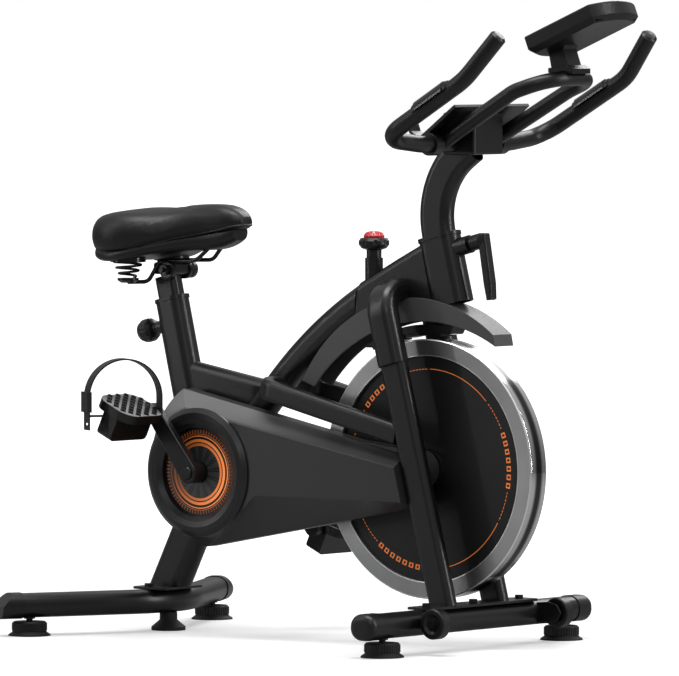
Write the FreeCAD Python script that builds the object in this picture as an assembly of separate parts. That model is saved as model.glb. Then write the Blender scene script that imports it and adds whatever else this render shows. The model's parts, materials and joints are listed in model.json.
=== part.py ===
import FreeCAD, Part
import math
import os

V = FreeCAD.Vector

# Spin bike, in millimetres. X runs forward, Y to the rider's left, Z up from the floor.
# Stations are measured from the front stabiliser's axis. The export moves them by
# origin_shift, so that X = 0 is at the middle of the whole bike.

# ---- driving dimensions -------------------------------------------------------------
RUN_FIT = 0.05                  # radial clearance of a shaft that turns in its bore
SEAT_FIT = 0.3                  # gap between curved neighbours of different bodies

# stabilisers and feet
STAB_DEPTH = 48.0
STAB_HEIGHT = 41.0
STAB_CORNER = 19.0
STAB_WALL = 2.5
STAB_AXIS_Z = 51.0
FRONT_STAB_HALF = 280.0
REAR_STAB_APEX_X = -652.0
REAR_FOOT_SWEEP = 124.0         # how far the rear bar sweeps back by the foot's station
REAR_STAB_HALF = 275.0
REAR_STAB_BEND = 170.0
CAP_OVERLAP = 20.0
CAP_LENGTH = 40.0
CAP_LIP = 1.5
FOOT_Y = 242.0
FOOT_FLANGE_R = 36.0
FOOT_DISC_R = 28.5
FOOT_DISC_TOP = 24.0
FOOT_STEM_R = 5.5
MOUNT_PLATE_T = 4.0
FRONT_PLATE_HALF = 150.0
REAR_PLATE_HALF = 55.0
BOLT_R = 4.0

# transport wheels
WHEEL_Y = 167.0
WHEEL_X = 51.0
WHEEL_Z = 52.0
WHEEL_R = 25.0
WHEEL_WIDTH = 20.0
WHEEL_BOLT_R = 4.0

# frame tubes
SEAT_TUBE_TOP = (-644.0, 565.0)
SEAT_TUBE_FOOT = (-566.0, 238.0)
SEAT_TUBE_DEPTH = 60.0
SEAT_TUBE_WIDTH = 40.0
LEG_FOOT_LEAD = 4.0             # how far the leg's foot stands ahead of the rear bar's apex
LEG_DEPTH = 70.0
LEG_WIDTH = 45.0
LEG_WALL = 4.0
TUBE_WALL = 2.0
BEAM_DEPTH = 50.0
BEAM_WIDTH = 40.0
BEAM_KNEE = (-413.0, 418.0)
BEAM_MIDDLE = (-289.0, 530.0)
BEAM_HEAD = (-214.0, 578.0)
CROSS_REAR = (-612.0, 431.0)
CROSS_FRONT = (-430.0, 399.0)
CROSS_DEPTH = 60.0
CROSS_WIDTH = 30.0
GUSSET_HALF = 20.0
GUSSET_WALL = 3.0
HEAD_TOP = (-71.0, 680.0)
HEAD_FOOT = (-42.0, 566.0)
HEAD_DEPTH = 76.0
HEAD_WIDTH = 42.0
FORK_FOOT_X = -8.0
FORK_HEAD = (-111.0, 468.0)
FORK_Y = 70.0
FORK_DEPTH = 49.0
FORK_WIDTH = 25.0
CROWN_DEPTH = 52.0
CROWN_THICK = 38.0
CROWN_AXIS_Z = 587.0
CROWN_BEND = 41.0
STRUT_FRONT = (-100.0, 351.6)
STRUT_REAR = (-392.0, 421.4)
STRUT_DEPTH = 25.0
STRUT_HEIGHT = 35.0

# drive
CRANK = (-508.0, 277.0)
PEDAL_SPREAD = (-77.0, 101.0)    # crank axis to the right pedal axis, at rest
AXLE = (-79.0, 294.0)
FLYWHEEL_R = 215.0
RIM_DEPTH = 28.0                # how far the heavy rim reaches in from the edge
RIM_HALF = 21.5
HUB_R = 30.0
AXLE_R = 6.0
BELT_Y = -43.0
BELT_WIDTH = 12.0
BELT_T = 3.0
DRIVE_R = 84.0
DRIVEN_R = 24.0
SHELL_R = 22.0
SHELL_RIGHT = -31.0
SHELL_LEFT = 88.0
CRANK_AXLE_R = 8.5
ARM_INNER_Y = 112.0
ARM_T = 14.0
PEDAL_INNER_Y = 132.0
PEDAL_WIDTH = 102.0
PEDAL_LENGTH = 80.0
PEDAL_PITCH = 25.0             # nose down, in degrees
SPINDLE_R = 7.0

# belt cover
COVER_FACE_Y = -95.0
COVER_SPLIT_Y = -56.0
COVER_INNER_Y = -31.0
COVER_WALL = 3.0
RING_R = 108.0
DISC_R = 75.0

# flywheel guard and brake
FENDER_HALF = 25.0
FENDER_WALL = 3.0
BRAKE_PIVOT = (-32.0, 541.0)
BRAKE_HALF = 18.0
BRAKE_GAP = 11.0                # from the flywheel's edge to the brake arm
BRAKE_THICK = 13.0
BRAKE_TAIL = 121.0              # angle at which the brake arm ends, under the knob's rod
KNOB_X = -208.0
SLEEVE_TOP_Z = 640.0
NECK_R = 12.5
ROD_R = 4.0

# saddle and post
POST_DEPTH = 45.0
POST_WIDTH = 28.0
POST_TOP_Z = 598.0
POST_INSERT = 250.0
TILT_AXIS = (-634.0, 612.0)
SPRING_X = -692.0
SPRING_Y = 58.0
SPRING_LOW_R = 13.0
SPRING_TOP_R = 25.0
SPRING_WIRE_R = 2.2
SPRING_PITCH = 10.5
SPRING_SEAT_Z = 598.0
SPRING_TOP_Z = 625.0

# Saddle stations from tail to nose: x, half width, lowest and highest point of the cushion, and
# how far the shell hangs below it.
SADDLE_SECTIONS = [(-764, 52, 656, 692, 9), (-744, 92, 640, 705, 9), (-700, 104, 636, 712, 9),
                   (-650, 90, 645, 711, 9), (-600, 58, 660, 716, 15), (-562, 42, 668, 724, 22),
                   (-524, 35, 675, 726, 24), (-494, 28, 681, 718, 17), (-478, 15, 687, 705, 9)]

# handlebar
BAR_POST_DEPTH = 62.0
BAR_POST_WIDTH = 32.0
BAR_R = 14.0
LOOP_R = 12.5
BAR_X = -16.0
BAR_Z = 832.0

# console
CONSOLE_TILT = 22.2
CONSOLE_CENTRE = (217.0, 1034.5)
CONSOLE_WIDTH = 126.0
CONSOLE_SIDE = 140.0
CONSOLE_BULGE = 18.0
CONSOLE_T = 31.0

ALONG_X = V(1, 0, 0)
ALONG_Y = V(0, 1, 0)
ALONG_Z = V(0, 0, 1)


# ---- shape helpers ------------------------------------------------------------------
def at(station, y=0.0):
    """Point of a side-view station (x, z) at the given y."""
    return V(station[0], y, station[1])


def box(x_low, x_high, y_low, y_high, z_low, z_high):
    """Block between two corners."""
    return Part.makeBox(x_high - x_low, y_high - y_low, z_high - z_low, V(x_low, y_low, z_low))


def rod(start, end, radius):
    """Solid round bar between two points."""
    run = end - start
    return Part.makeCylinder(radius, run.Length, start, run)


def cross_rod(station, y_low, y_high, radius):
    """Round bar along Y at a side-view station."""
    return rod(at(station, y_low), at(station, y_high), radius)


def side_plate(outline, y_low, y_high):
    """Side-view outline pushed along Y."""
    corners = [V(x, y_low, z) for x, z in outline]
    return Part.Face(Part.makePolygon(corners + corners[:1])).extrude(V(0, y_high - y_low, 0))


def turned(profile, base, axis):
    """Solid of revolution of (radius, distance along the axis) points."""
    corners = [V(radius, 0, along) for radius, along in profile]
    solid = Part.Face(Part.makePolygon(corners + corners[:1])).revolve(V(0, 0, 0), ALONG_Z, 360)
    solid.Placement = FreeCAD.Placement(base, FreeCAD.Rotation(ALONG_Z, axis))
    return solid


def section_wire(depth, width, corner):
    """Rounded rectangle about the origin, depth along X and width along Y."""
    inner_x = depth / 2 - corner
    inner_y = width / 2 - corner
    edges = []
    last = None
    first = None
    for quarter, (side_x, side_y) in enumerate(((1, 1), (-1, 1), (-1, -1), (1, -1))):
        points = []
        for step in range(3):
            angle = (quarter + step / 2) * math.pi / 2
            points.append(V(side_x * inner_x + corner * math.cos(angle),
                            side_y * inner_y + corner * math.sin(angle), 0))
        if last and (points[0] - last).Length > 1e-6:
            edges.append(Part.makeLine(last, points[0]))
        edges.append(Part.Arc(*points).toShape())
        first = first or points[0]
        last = points[2]
    if (first - last).Length > 1e-6:
        edges.append(Part.makeLine(last, first))
    return Part.Wire(edges)


def rounded_path(points, radii):
    """Straight runs joined by a tangent arc at each inner point."""
    edges = []
    start = points[0]
    for before, corner, after, radius in zip(points, points[1:], points[2:], radii):
        back = (before - corner).normalize()
        ahead = (after - corner).normalize()
        half_angle = back.getAngle(ahead) / 2
        reach = radius / math.tan(half_angle)
        bisector = (back + ahead).normalize()
        arc_start = corner + back * reach
        arc_end = corner + ahead * reach
        arc_middle = corner + bisector * (radius / math.sin(half_angle) - radius)
        edges.append(Part.makeLine(start, arc_start))
        edges.append(Part.Arc(arc_start, arc_middle, arc_end).toShape())
        start = arc_end
    edges.append(Part.makeLine(start, points[-1]))
    return Part.Wire(edges)


def oval_bar(points, depth, width, corner, side=ALONG_Y, radii=()):
    """Bar of rounded rectangular section along a path; its width lies along side."""
    run = (points[1] - points[0]).normalize()
    turn = FreeCAD.Rotation(side.cross(run), side, run, "ZYX")
    profile = section_wire(depth, width, corner)
    profile.Placement = FreeCAD.Placement(points[0], turn)
    if len(points) == 2:
        return Part.Face(profile).extrude(points[1] - points[0])
    return rounded_path(points, radii).makePipeShell([profile], True, False)


def oval_tube(points, depth, width, corner, wall, side=ALONG_Y, radii=()):
    """Hollow oval bar."""
    outer = oval_bar(points, depth, width, corner, side, radii)
    inner = oval_bar(points, depth - 2 * wall, width - 2 * wall, corner - wall, side, radii)
    return outer.cut(inner)


def round_bar(points, radii, radius):
    """Bent round bar."""
    profile = Part.Wire(Part.makeCircle(radius, points[0], points[1] - points[0]))
    return rounded_path(points, radii).makePipeShell([profile], True, False)


def hex_head(base, axis, across, thick):
    """Hexagonal bolt head or nut standing on base."""
    radius = across / math.sqrt(3)
    corners = [V(radius * math.cos(math.radians(60 * k)), radius * math.sin(math.radians(60 * k)), 0)
               for k in range(7)]
    head = Part.Face(Part.makePolygon(corners)).extrude(V(0, 0, thick))
    head.Placement = FreeCAD.Placement(base, FreeCAD.Rotation(ALONG_Z, axis))
    return head


def soften(shape, radius, chosen):
    """Fillet of the edges for which chosen(edge) is true."""
    return shape.makeFillet(radius, [edge for edge in shape.Edges if chosen(edge)])


def mirrored(shape):
    """Copy on the other side of the bike's middle plane."""
    return shape.mirror(V(0, 0, 0), ALONG_Y)


def both(shape):
    """A right-hand piece and its left-hand copy."""
    return [shape, mirrored(shape)]


def cut_all(shape, tools):
    """Shape less every tool."""
    for tool in tools:
        shape = shape.cut(tool)
    return shape


def along(low, high, share):
    """Side-view station at a share of the way from low to high."""
    return (low[0] + (high[0] - low[0]) * share, low[1] + (high[1] - low[1]) * share)


def on_line(low, high, z):
    """Side-view station at height z on the line through two stations."""
    return along(low, high, (z - low[1]) / (high[1] - low[1]))


def radial(centre, radius, degrees):
    """Side-view station at a radius and an angle from forward, towards up."""
    angle = math.radians(degrees)
    return (centre[0] + radius * math.cos(angle), centre[1] + radius * math.sin(angle))


def arc_band(centre, inner, outer, start, end, y_low, y_high):
    """Part of a ring in side view, between two angles, pushed along Y."""
    middle = (start + end) / 2
    points = [at(radial(centre, r, a), y_low) for r in (inner, outer) for a in (start, middle, end)]
    edges = [Part.Arc(*points[:3]).toShape(), Part.makeLine(points[2], points[5]),
             Part.Arc(*points[3:]).toShape(), Part.makeLine(points[3], points[0])]
    return Part.Face(Part.Wire(Part.__sortEdges__(edges))).extrude(V(0, y_high - y_low, 0))


def arc(first, middle, last):
    """Side-view arc through three stations."""
    return Part.Arc(at(first), at(middle), at(last)).toShape()


def side_shape(edges, y_low, y_high):
    """Closed chain of side-view edges pushed along Y."""
    face = Part.Face(Part.Wire(Part.__sortEdges__(edges)))
    return face.translated(V(0, y_low, 0)).extrude(V(0, y_high - y_low, 0))


def side_line(first, last):
    """Side-view straight edge."""
    return Part.makeLine(at(first), at(last))


# ---- envelopes of the tubes, used to cope what meets them ---------------------------
rim_inner_r = FLYWHEEL_R - RIM_DEPTH
brake_inner_r = FLYWHEEL_R + BRAKE_GAP
brake_outer_r = brake_inner_r + BRAKE_THICK
stab_top_z = STAB_AXIS_Z + STAB_HEIGHT / 2
stab_bottom_z = STAB_AXIS_Z - STAB_HEIGHT / 2
plate_top_z = stab_top_z + MOUNT_PLATE_T
leg_foot = (REAR_STAB_APEX_X + LEG_FOOT_LEAD, plate_top_z)
fork_foot = (FORK_FOOT_X, plate_top_z)
seat_axis = (at(SEAT_TUBE_TOP) - at(SEAT_TUBE_FOOT)).normalize()
head_axis = (at(HEAD_TOP) - at(HEAD_FOOT)).normalize()
fork_axis = (at(FORK_HEAD) - at(fork_foot)).normalize()


def beam_path():
    """Lower straight run of the beam, then its long arc up to the head gusset."""
    arc = Part.Arc(at(BEAM_KNEE), at(BEAM_MIDDLE), at(BEAM_HEAD))
    tangent = arc.tangent(arc.FirstParameter)[0].normalize()
    reach = (BEAM_KNEE[1] - SEAT_TUBE_FOOT[1]) / tangent.z
    foot = at(BEAM_KNEE) - tangent * reach
    return foot, tangent, Part.Wire([Part.makeLine(foot, at(BEAM_KNEE)), arc.toShape()])


def beam_solid(inset):
    """The beam's outer shape, made smaller all round by inset."""
    foot, tangent, path = beam_path()
    profile = section_wire(BEAM_DEPTH - 2 * inset, BEAM_WIDTH - 2 * inset, BEAM_WIDTH / 2 - 1 - inset)
    turn = FreeCAD.Rotation(ALONG_Y.cross(tangent), ALONG_Y, tangent, "ZYX")
    profile.Placement = FreeCAD.Placement(foot, turn)
    return path.makePipeShell([profile], True, False)


seat_tube_env = oval_bar([at(SEAT_TUBE_FOOT) - seat_axis * 30, at(SEAT_TUBE_TOP)],
                         SEAT_TUBE_DEPTH, SEAT_TUBE_WIDTH, 19.0)
beam_env = beam_solid(0)
fork_env = oval_bar([at(fork_foot, -FORK_Y) - fork_axis * 20, at(FORK_HEAD, -FORK_Y)],
                    FORK_DEPTH, FORK_WIDTH, 11.0)
head_env = oval_bar([at(HEAD_FOOT), at(HEAD_TOP)], HEAD_DEPTH, HEAD_WIDTH, 20.0)
shell_env = cross_rod(CRANK, SHELL_RIGHT, SHELL_LEFT, SHELL_R)


def fender_shape(top_drop, low_drop, end_inset, half):
    """Flywheel guard in side view, with its top and lower edges moved down and its ends moved in."""
    rear_top = (-341 + end_inset, 433 - top_drop)
    rear_low = (-316 + end_inset, 424 - low_drop)
    front_top = (60 - end_inset, 519 - top_drop)
    front_low = (64 - end_inset, 500 - low_drop)
    saddle = (-170, 569 - top_drop)
    edges = [arc(rear_top, (-273, 516 - top_drop), saddle),
             arc(saddle, (-40, 568 - top_drop), front_top),
             side_line(front_top, front_low),
             arc(front_low, (-90, 538 - low_drop), rear_low),
             side_line(rear_low, rear_top)]
    return side_shape(edges, -half, half)


fender_env = fender_shape(0, 0, 0, FENDER_HALF)
GUSSET = [(-226, 600), (-153, 638), (-95, 667), (-70, 560), (-140, 570), (-205, 540), (-234, 530)]
gusset_env = side_plate(GUSSET, -GUSSET_HALF, GUSSET_HALF)
gusset_env = soften(gusset_env, 13.0, lambda edge: abs(abs(edge.CenterOfMass.y) - GUSSET_HALF) < 0.1
                    and edge.CenterOfMass.z > 610 and edge.Length > 50 and edge.CenterOfMass.x < -110)
gusset_env = gusset_env.cut(fender_env).cut(head_env)

parts = {}


# ---- stabilisers, feet and transport wheels -----------------------------------------
def rear_stab_points():
    """Path of the swept-back rear stabiliser, from right to left."""
    slope = math.atan2(REAR_FOOT_SWEEP, FOOT_Y)
    corner_x = REAR_STAB_APEX_X + REAR_STAB_BEND * (1 / math.cos(slope) - 1)
    end_x = corner_x - REAR_STAB_HALF * math.tan(slope)
    return [V(end_x, -REAR_STAB_HALF, STAB_AXIS_Z), V(corner_x, 0, STAB_AXIS_Z),
            V(end_x, REAR_STAB_HALF, STAB_AXIS_Z)]


def end_cap(end, outward, slanted):
    """Plastic cap over a stabiliser's end, built on the end point and looking outward."""
    depth = STAB_DEPTH + 2 * CAP_LIP
    height = STAB_HEIGHT + 2 * CAP_LIP
    start = end - outward * CAP_OVERLAP
    reach = CAP_LENGTH - CAP_OVERLAP
    cap = oval_bar([start, end + outward * reach], depth, height, STAB_CORNER + CAP_LIP, ALONG_Z)
    tip = end + outward * reach
    if slanted:
        slant = (outward + ALONG_Z * 0.9).normalize()
        wedge = Part.makeBox(200, 200, 60, V(-100, -100, 0))
        wedge.Placement = FreeCAD.Placement(tip + V(0, 0, 2) - slant * 2, FreeCAD.Rotation(ALONG_Z, slant))
        cap = cap.cut(wedge)
    else:
        cap = soften(cap, 12.0, lambda edge: abs((edge.CenterOfMass - tip).dot(outward)) < 0.5)
    bore = oval_bar([start - outward, end], STAB_DEPTH, STAB_HEIGHT, STAB_CORNER, ALONG_Z)
    return cap.cut(bore)


def foot(x, y):
    """Levelling foot: rubber flange, knurled disc and threaded stem."""
    profile = [(0, 0), (FOOT_FLANGE_R, 0), (FOOT_FLANGE_R - 1, 2.5), (FOOT_DISC_R + 1, 6), (FOOT_DISC_R, 8),
               (FOOT_DISC_R, FOOT_DISC_TOP - 2), (FOOT_DISC_R - 2, FOOT_DISC_TOP),
               (FOOT_STEM_R, FOOT_DISC_TOP), (FOOT_STEM_R, STAB_AXIS_Z + 8), (0, STAB_AXIS_Z + 8)]
    return turned(profile, V(x, y, 0), ALONG_Z)


def foot_nut(x, y):
    """Threaded insert in the stabiliser's lower wall that carries a levelling foot."""
    profile = [(FOOT_STEM_R + RUN_FIT, stab_bottom_z - 2), (FOOT_STEM_R + 4, stab_bottom_z - 2),
               (FOOT_STEM_R + 4, STAB_AXIS_Z - 6), (FOOT_STEM_R + RUN_FIT, STAB_AXIS_Z - 6)]
    return turned(profile, V(x, y, 0), ALONG_Z)


def wheel_parts(side):
    """Transport wheel with its bolt and its bracket on one side; side is -1 or 1."""
    centre = V(WHEEL_X, side * WHEEL_Y, WHEEL_Z)
    half = WHEEL_WIDTH / 2
    tyre = [(WHEEL_BOLT_R + RUN_FIT, -half + 3), (12, -half + 3), (17, -half), (WHEEL_R - 2, -half),
            (WHEEL_R, -half + 2), (WHEEL_R, half - 2), (WHEEL_R - 2, half), (17, half), (12, half - 3),
            (WHEEL_BOLT_R + RUN_FIT, half - 3)]
    wheel = turned(tyre, centre, ALONG_Y)
    y_in = side * (WHEEL_Y - half - 1)
    y_back = side * (WHEEL_Y - half - 6)
    low, high = sorted((y_in, y_back))
    arm = [(15, 34), (15, 68), (40, 70), (58, 66), (67, 52), (58, 38), (40, 34)]
    bracket = soften(side_plate(arm, low, high), 1.0, lambda edge: edge.Length > 8)
    bolt_out = side * (WHEEL_Y + half + 1)
    bolt = rod(V(WHEEL_X, y_back, WHEEL_Z), V(WHEEL_X, bolt_out, WHEEL_Z), WHEEL_BOLT_R)
    head = hex_head(V(WHEEL_X, side * (WHEEL_Y + half - 2.5), WHEEL_Z), V(0, side, 0), 13, 5)
    bolt = bolt.fuse(head)
    return wheel, bracket.cut(bolt), bolt


def build_base():
    """Both stabilisers with everything bolted to them."""
    front_points = [V(0, -FRONT_STAB_HALF, STAB_AXIS_Z), V(0, FRONT_STAB_HALF, STAB_AXIS_Z)]
    front = oval_tube(front_points, STAB_DEPTH, STAB_HEIGHT, STAB_CORNER, STAB_WALL, ALONG_Z)
    rear_points = rear_stab_points()
    rear = oval_tube(rear_points, STAB_DEPTH, STAB_HEIGHT, STAB_CORNER, STAB_WALL, ALONG_Z, [REAR_STAB_BEND])
    rear_out = (rear_points[0] - rear_points[1]).normalize()
    parts["stabiliser_end_caps"] = (both(end_cap(front_points[0], V(0, -1, 0), False))
                                    + both(end_cap(rear_points[0], rear_out, True)))

    slope = (rear_points[1].x - rear_points[0].x) / REAR_STAB_HALF
    rear_foot_x = rear_points[1].x - FOOT_Y * slope
    feet = {"front_right": (0, -FOOT_Y), "front_left": (0, FOOT_Y),
            "rear_right": (rear_foot_x, -FOOT_Y), "rear_left": (rear_foot_x, FOOT_Y)}
    nuts = []
    for place, (x, y) in feet.items():
        parts["levelling_foot_" + place] = [foot(x, y)]
        hole = rod(V(x, y, 0), V(x, y, STAB_AXIS_Z - 6), FOOT_STEM_R + 4)
        nuts.append(foot_nut(x, y))
        if x == 0:
            front = front.cut(hole)
        else:
            rear = rear.cut(hole)

    centre_foot = [(0, 0), (29, 0), (29, 6), (17, 16), (15, 18), (15, stab_bottom_z), (0, stab_bottom_z)]
    parts["centre_foot"] = [turned(centre_foot, V(REAR_STAB_APEX_X, 0, 0), ALONG_Z)]

    half_x = STAB_DEPTH / 2 + 2
    front_deck = box(-half_x, half_x, -FRONT_PLATE_HALF, FRONT_PLATE_HALF, stab_top_z, plate_top_z)
    rear_deck = box(REAR_STAB_APEX_X - 38, REAR_STAB_APEX_X + 36, -REAR_PLATE_HALF, REAR_PLATE_HALF,
                    stab_top_z, plate_top_z)
    decks = [soften(deck, 12.0, lambda edge: abs(edge.tangentAt(0).z) > 0.9)
             for deck in (front_deck, rear_deck)]
    bolts = []
    for x, y in ((0, -125), (0, 0), (0, 125), (REAR_STAB_APEX_X - 6, -45), (REAR_STAB_APEX_X - 6, 45)):
        shank = rod(V(x, y, stab_top_z - 8), V(x, y, plate_top_z), BOLT_R)
        bolts.append(shank.fuse(hex_head(V(x, y, plate_top_z), ALONG_Z, 13, 6)))
        front = front.cut(shank)
        rear = rear.cut(shank)
        decks = [deck.cut(shank) for deck in decks]

    brackets = []
    wheel_bolts = []
    for name, side in (("right", -1), ("left", 1)):
        wheel, bracket, bolt = wheel_parts(side)
        parts["transport_wheel_" + name] = [wheel]
        brackets.append(bracket.cut(oval_bar(front_points, STAB_DEPTH, STAB_HEIGHT, STAB_CORNER, ALONG_Z)))
        wheel_bolts.append(bolt)
    parts["base_plates"] = decks + brackets
    parts["base_fasteners"] = bolts + wheel_bolts + nuts
    parts["front_stabiliser"] = [front]
    parts["rear_stabiliser"] = [rear]


# ---- welded frame -------------------------------------------------------------------
def build_frame():
    """Seat tube, leg, beam, head and fork."""
    leg_axis = (at(SEAT_TUBE_FOOT) - at(leg_foot)).normalize()
    mitre_normal = (leg_axis + seat_axis).normalize()
    above = Part.makeBox(400, 400, 200, V(-200, -200, 0))
    above.Placement = FreeCAD.Placement(at(SEAT_TUBE_FOOT), FreeCAD.Rotation(ALONG_Z, mitre_normal))
    below = Part.makeBox(400, 400, 200, V(-200, -200, -200))
    below.Placement = above.Placement
    floor_cut = box(-800, 100, -100, 100, 0, plate_top_z)

    seat_points = [at(SEAT_TUBE_FOOT) - seat_axis * 30, at(SEAT_TUBE_TOP)]
    seat_tube = oval_tube(seat_points, SEAT_TUBE_DEPTH, SEAT_TUBE_WIDTH, 19.0, TUBE_WALL).cut(below)
    leg_points = [at(leg_foot) - leg_axis * 30, at(SEAT_TUBE_FOOT) + leg_axis * 30]
    rear_leg = oval_tube(leg_points, LEG_DEPTH, LEG_WIDTH, 21.0, LEG_WALL).cut(above).cut(floor_cut)
    leg_outer = oval_bar(leg_points, LEG_DEPTH, LEG_WIDTH, 21.0).cut(above)

    beam = beam_env.cut(beam_solid(TUBE_WALL))
    seam = side_plate([(-221, 700), (-242, 460), (-100, 460), (-100, 700)], -30, 30)
    beam = cut_all(beam, [seam, gusset_env, seat_tube_env, leg_outer, shell_env, fender_env])

    cross = oval_tube([at(CROSS_REAR), at(CROSS_FRONT)], CROSS_DEPTH, CROSS_WIDTH, 13.0, TUBE_WALL)
    cross = cut_all(cross, [seat_tube_env, beam_env])

    shell = shell_env.cut(cross_rod(CRANK, SHELL_RIGHT, SHELL_LEFT, SHELL_R - 3))

    gusset = gusset_env.cut(side_plate(shrink(GUSSET, GUSSET_WALL), -GUSSET_HALF + GUSSET_WALL,
                                       GUSSET_HALF - GUSSET_WALL).cut(fender_env).cut(head_env))
    rod_hole = rod(V(KNOB_X, 0, 400), V(KNOB_X, 0, 700), ROD_R + 1)
    gusset = gusset.cut(rod_hole)

    head_tube = oval_tube([at(HEAD_FOOT), at(HEAD_TOP)], HEAD_DEPTH, HEAD_WIDTH, 20.0, 2.5)
    rim_points = [at(HEAD_TOP) - head_axis * 6, at(HEAD_TOP)]
    head_tube = head_tube.fuse(oval_tube(rim_points, HEAD_DEPTH + 3, HEAD_WIDTH + 3, 21.0, 2.5))
    collar_points = [at(SEAT_TUBE_TOP) - seat_axis * 6, at(SEAT_TUBE_TOP)]
    seat_tube = seat_tube.fuse(oval_tube(collar_points, SEAT_TUBE_DEPTH + 3, SEAT_TUBE_WIDTH + 3, 20.0, 2.5))

    fork_points = [at(fork_foot, -FORK_Y) - fork_axis * 20, at(FORK_HEAD, -FORK_Y)]
    fork_leg = oval_tube(fork_points, FORK_DEPTH, FORK_WIDTH, 11.0, TUBE_WALL).cut(floor_cut)

    out = V(0, -1, 0)
    strut_run = at(STRUT_FRONT) - at(STRUT_REAR)
    strut_side = strut_run.cross(out).normalize()
    strut_points = [at(STRUT_REAR, -BEAM_WIDTH / 2 + 12), at(STRUT_REAR, -FORK_Y), at(STRUT_FRONT, -FORK_Y)]
    strut = oval_bar(strut_points, STRUT_DEPTH, STRUT_HEIGHT, 9.0, strut_side, [26.0])
    strut_bore = oval_bar(strut_points, STRUT_DEPTH - 2 * TUBE_WALL, STRUT_HEIGHT - 2 * TUBE_WALL,
                          9.0 - TUBE_WALL, strut_side, [26.0])
    strut = strut.cut(strut_bore).cut(beam_env).cut(fork_env)

    bend = at(on_line(fork_foot, FORK_HEAD, CROWN_AXIS_Z), -FORK_Y - 1)
    crown_points = [at(FORK_HEAD, -FORK_Y - 1), bend, V(bend.x, 0, bend.z)]
    crown = oval_tube(crown_points, CROWN_DEPTH, CROWN_THICK, 16.0, 4.0, ALONG_Y, [CROWN_BEND])
    crown = crown.cut(gusset_env).cut(fender_env)

    parts["seat_tube"] = [seat_tube]
    parts["rear_leg"] = [rear_leg]
    parts["main_beam"] = [beam]
    parts["cross_tube"] = [cross]
    parts["bottom_bracket_shell"] = [shell]
    parts["head_gusset"] = [gusset]
    parts["head_tube"] = [head_tube.cut(fender_env)]
    parts["fork_legs"] = both(fork_leg)
    parts["side_struts"] = both(strut)
    parts["fork_crown"] = both(crown)


def shrink(outline, inset):
    """Outline moved inwards by inset."""
    corners = [V(x, 0, z) for x, z in outline]
    wire = Part.makePolygon(corners + corners[:1])
    return [(point.X, point.Z) for point in wire.makeOffset2D(-inset).OrderedVertexes]


# ---- flywheel, belt drive and cranks ------------------------------------------------
def tangent_link(centre_a, radius_a, centre_b, radius_b, y_low, y_high):
    """Two discs and the straight sides that touch both, pushed along Y."""
    span = at(centre_b) - at(centre_a)
    heading = math.degrees(math.atan2(span.z, span.x))
    lean = math.degrees(math.acos((radius_a - radius_b) / span.Length))
    corners = [radial(centre_a, radius_a, heading + lean), radial(centre_b, radius_b, heading + lean),
               radial(centre_b, radius_b, heading - lean), radial(centre_a, radius_a, heading - lean)]
    link = side_plate(corners, y_low, y_high)
    link = link.fuse(cross_rod(centre_a, y_low, y_high, radius_a))
    return link.fuse(cross_rod(centre_b, y_low, y_high, radius_b)).removeSplitter()


def pulley(centre, bore, rim_r, hub_r=0.0):
    """Flat belt pulley with low flanges; given a hub radius, it has a thin web from hub to rim."""
    seat = BELT_WIDTH / 2 + 0.5
    edge = seat + 1.5
    flange = rim_r + 3
    belt_side = [(flange, -edge), (flange, -seat), (rim_r, -seat), (rim_r, seat), (flange, seat),
                 (flange, edge)]
    front = []
    back = []
    if hub_r:
        inner_r = rim_r - 10
        front = [(hub_r, -edge), (hub_r, -2), (inner_r, -2), (inner_r, -edge)]
        back = [(inner_r, edge), (inner_r, 2), (hub_r, 2), (hub_r, edge)]
    return turned([(bore, edge), (bore, -edge)] + front + belt_side + back, at(centre, BELT_Y), ALONG_Y)


def build_flywheel():
    """Flywheel on its fixed axle, and the bearings of both shafts."""
    rim = [(rim_inner_r, -RIM_HALF), (FLYWHEEL_R - 2, -RIM_HALF), (FLYWHEEL_R, -RIM_HALF + 2),
           (FLYWHEEL_R, RIM_HALF - 2), (FLYWHEEL_R - 2, RIM_HALF), (rim_inner_r, RIM_HALF)]
    web = [(HUB_R, -3), (rim_inner_r, -3), (rim_inner_r, 3), (HUB_R, 3)]
    side = [(HUB_R, -16), (rim_inner_r, -16), (rim_inner_r, -13.5), (HUB_R, -13.5)]
    pulley_end = BELT_Y - BELT_WIDTH / 2 - 2
    hub_bore = 15
    hub = [(hub_bore, pulley_end), (18, pulley_end), (18, -21), (HUB_R, -21), (HUB_R, 21), (24, 21),
           (24, 30), (hub_bore, 30)]
    centre = at(AXLE)
    parts["flywheel_rim"] = [turned(rim, centre, ALONG_Y)]
    disc = [turned(web, centre, ALONG_Y)] + both(turned(side, centre, ALONG_Y))
    disc.append(turned(hub, centre, ALONG_Y))
    parts["flywheel_disc"] = disc + [pulley(AXLE, 18, DRIVEN_R)]
    bearings = []
    for y_low in (pulley_end, 21):
        outer_race = hub_bore - RUN_FIT
        ring = [(AXLE_R, y_low), (outer_race, y_low), (outer_race, y_low + 9), (AXLE_R, y_low + 9)]
        bearings.append(turned(ring, centre, ALONG_Y))
    for y_low in (SHELL_RIGHT, SHELL_LEFT - 12):
        race = CRANK_AXLE_R + RUN_FIT
        ring = [(race, y_low), (SHELL_R - 3, y_low), (SHELL_R - 3, y_low + 12), (race, y_low + 12)]
        bearings.append(turned(ring, at(CRANK), ALONG_Y))
    parts["bearings"] = bearings
    leg_face = FORK_Y - FORK_WIDTH / 2
    axle = cross_rod(AXLE, -leg_face, leg_face, AXLE_R)
    nut = hex_head(at(AXLE, -leg_face + 6), -ALONG_Y, 19, 6).cut(axle)
    parts["flywheel_axle"] = [axle] + both(nut)


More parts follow.
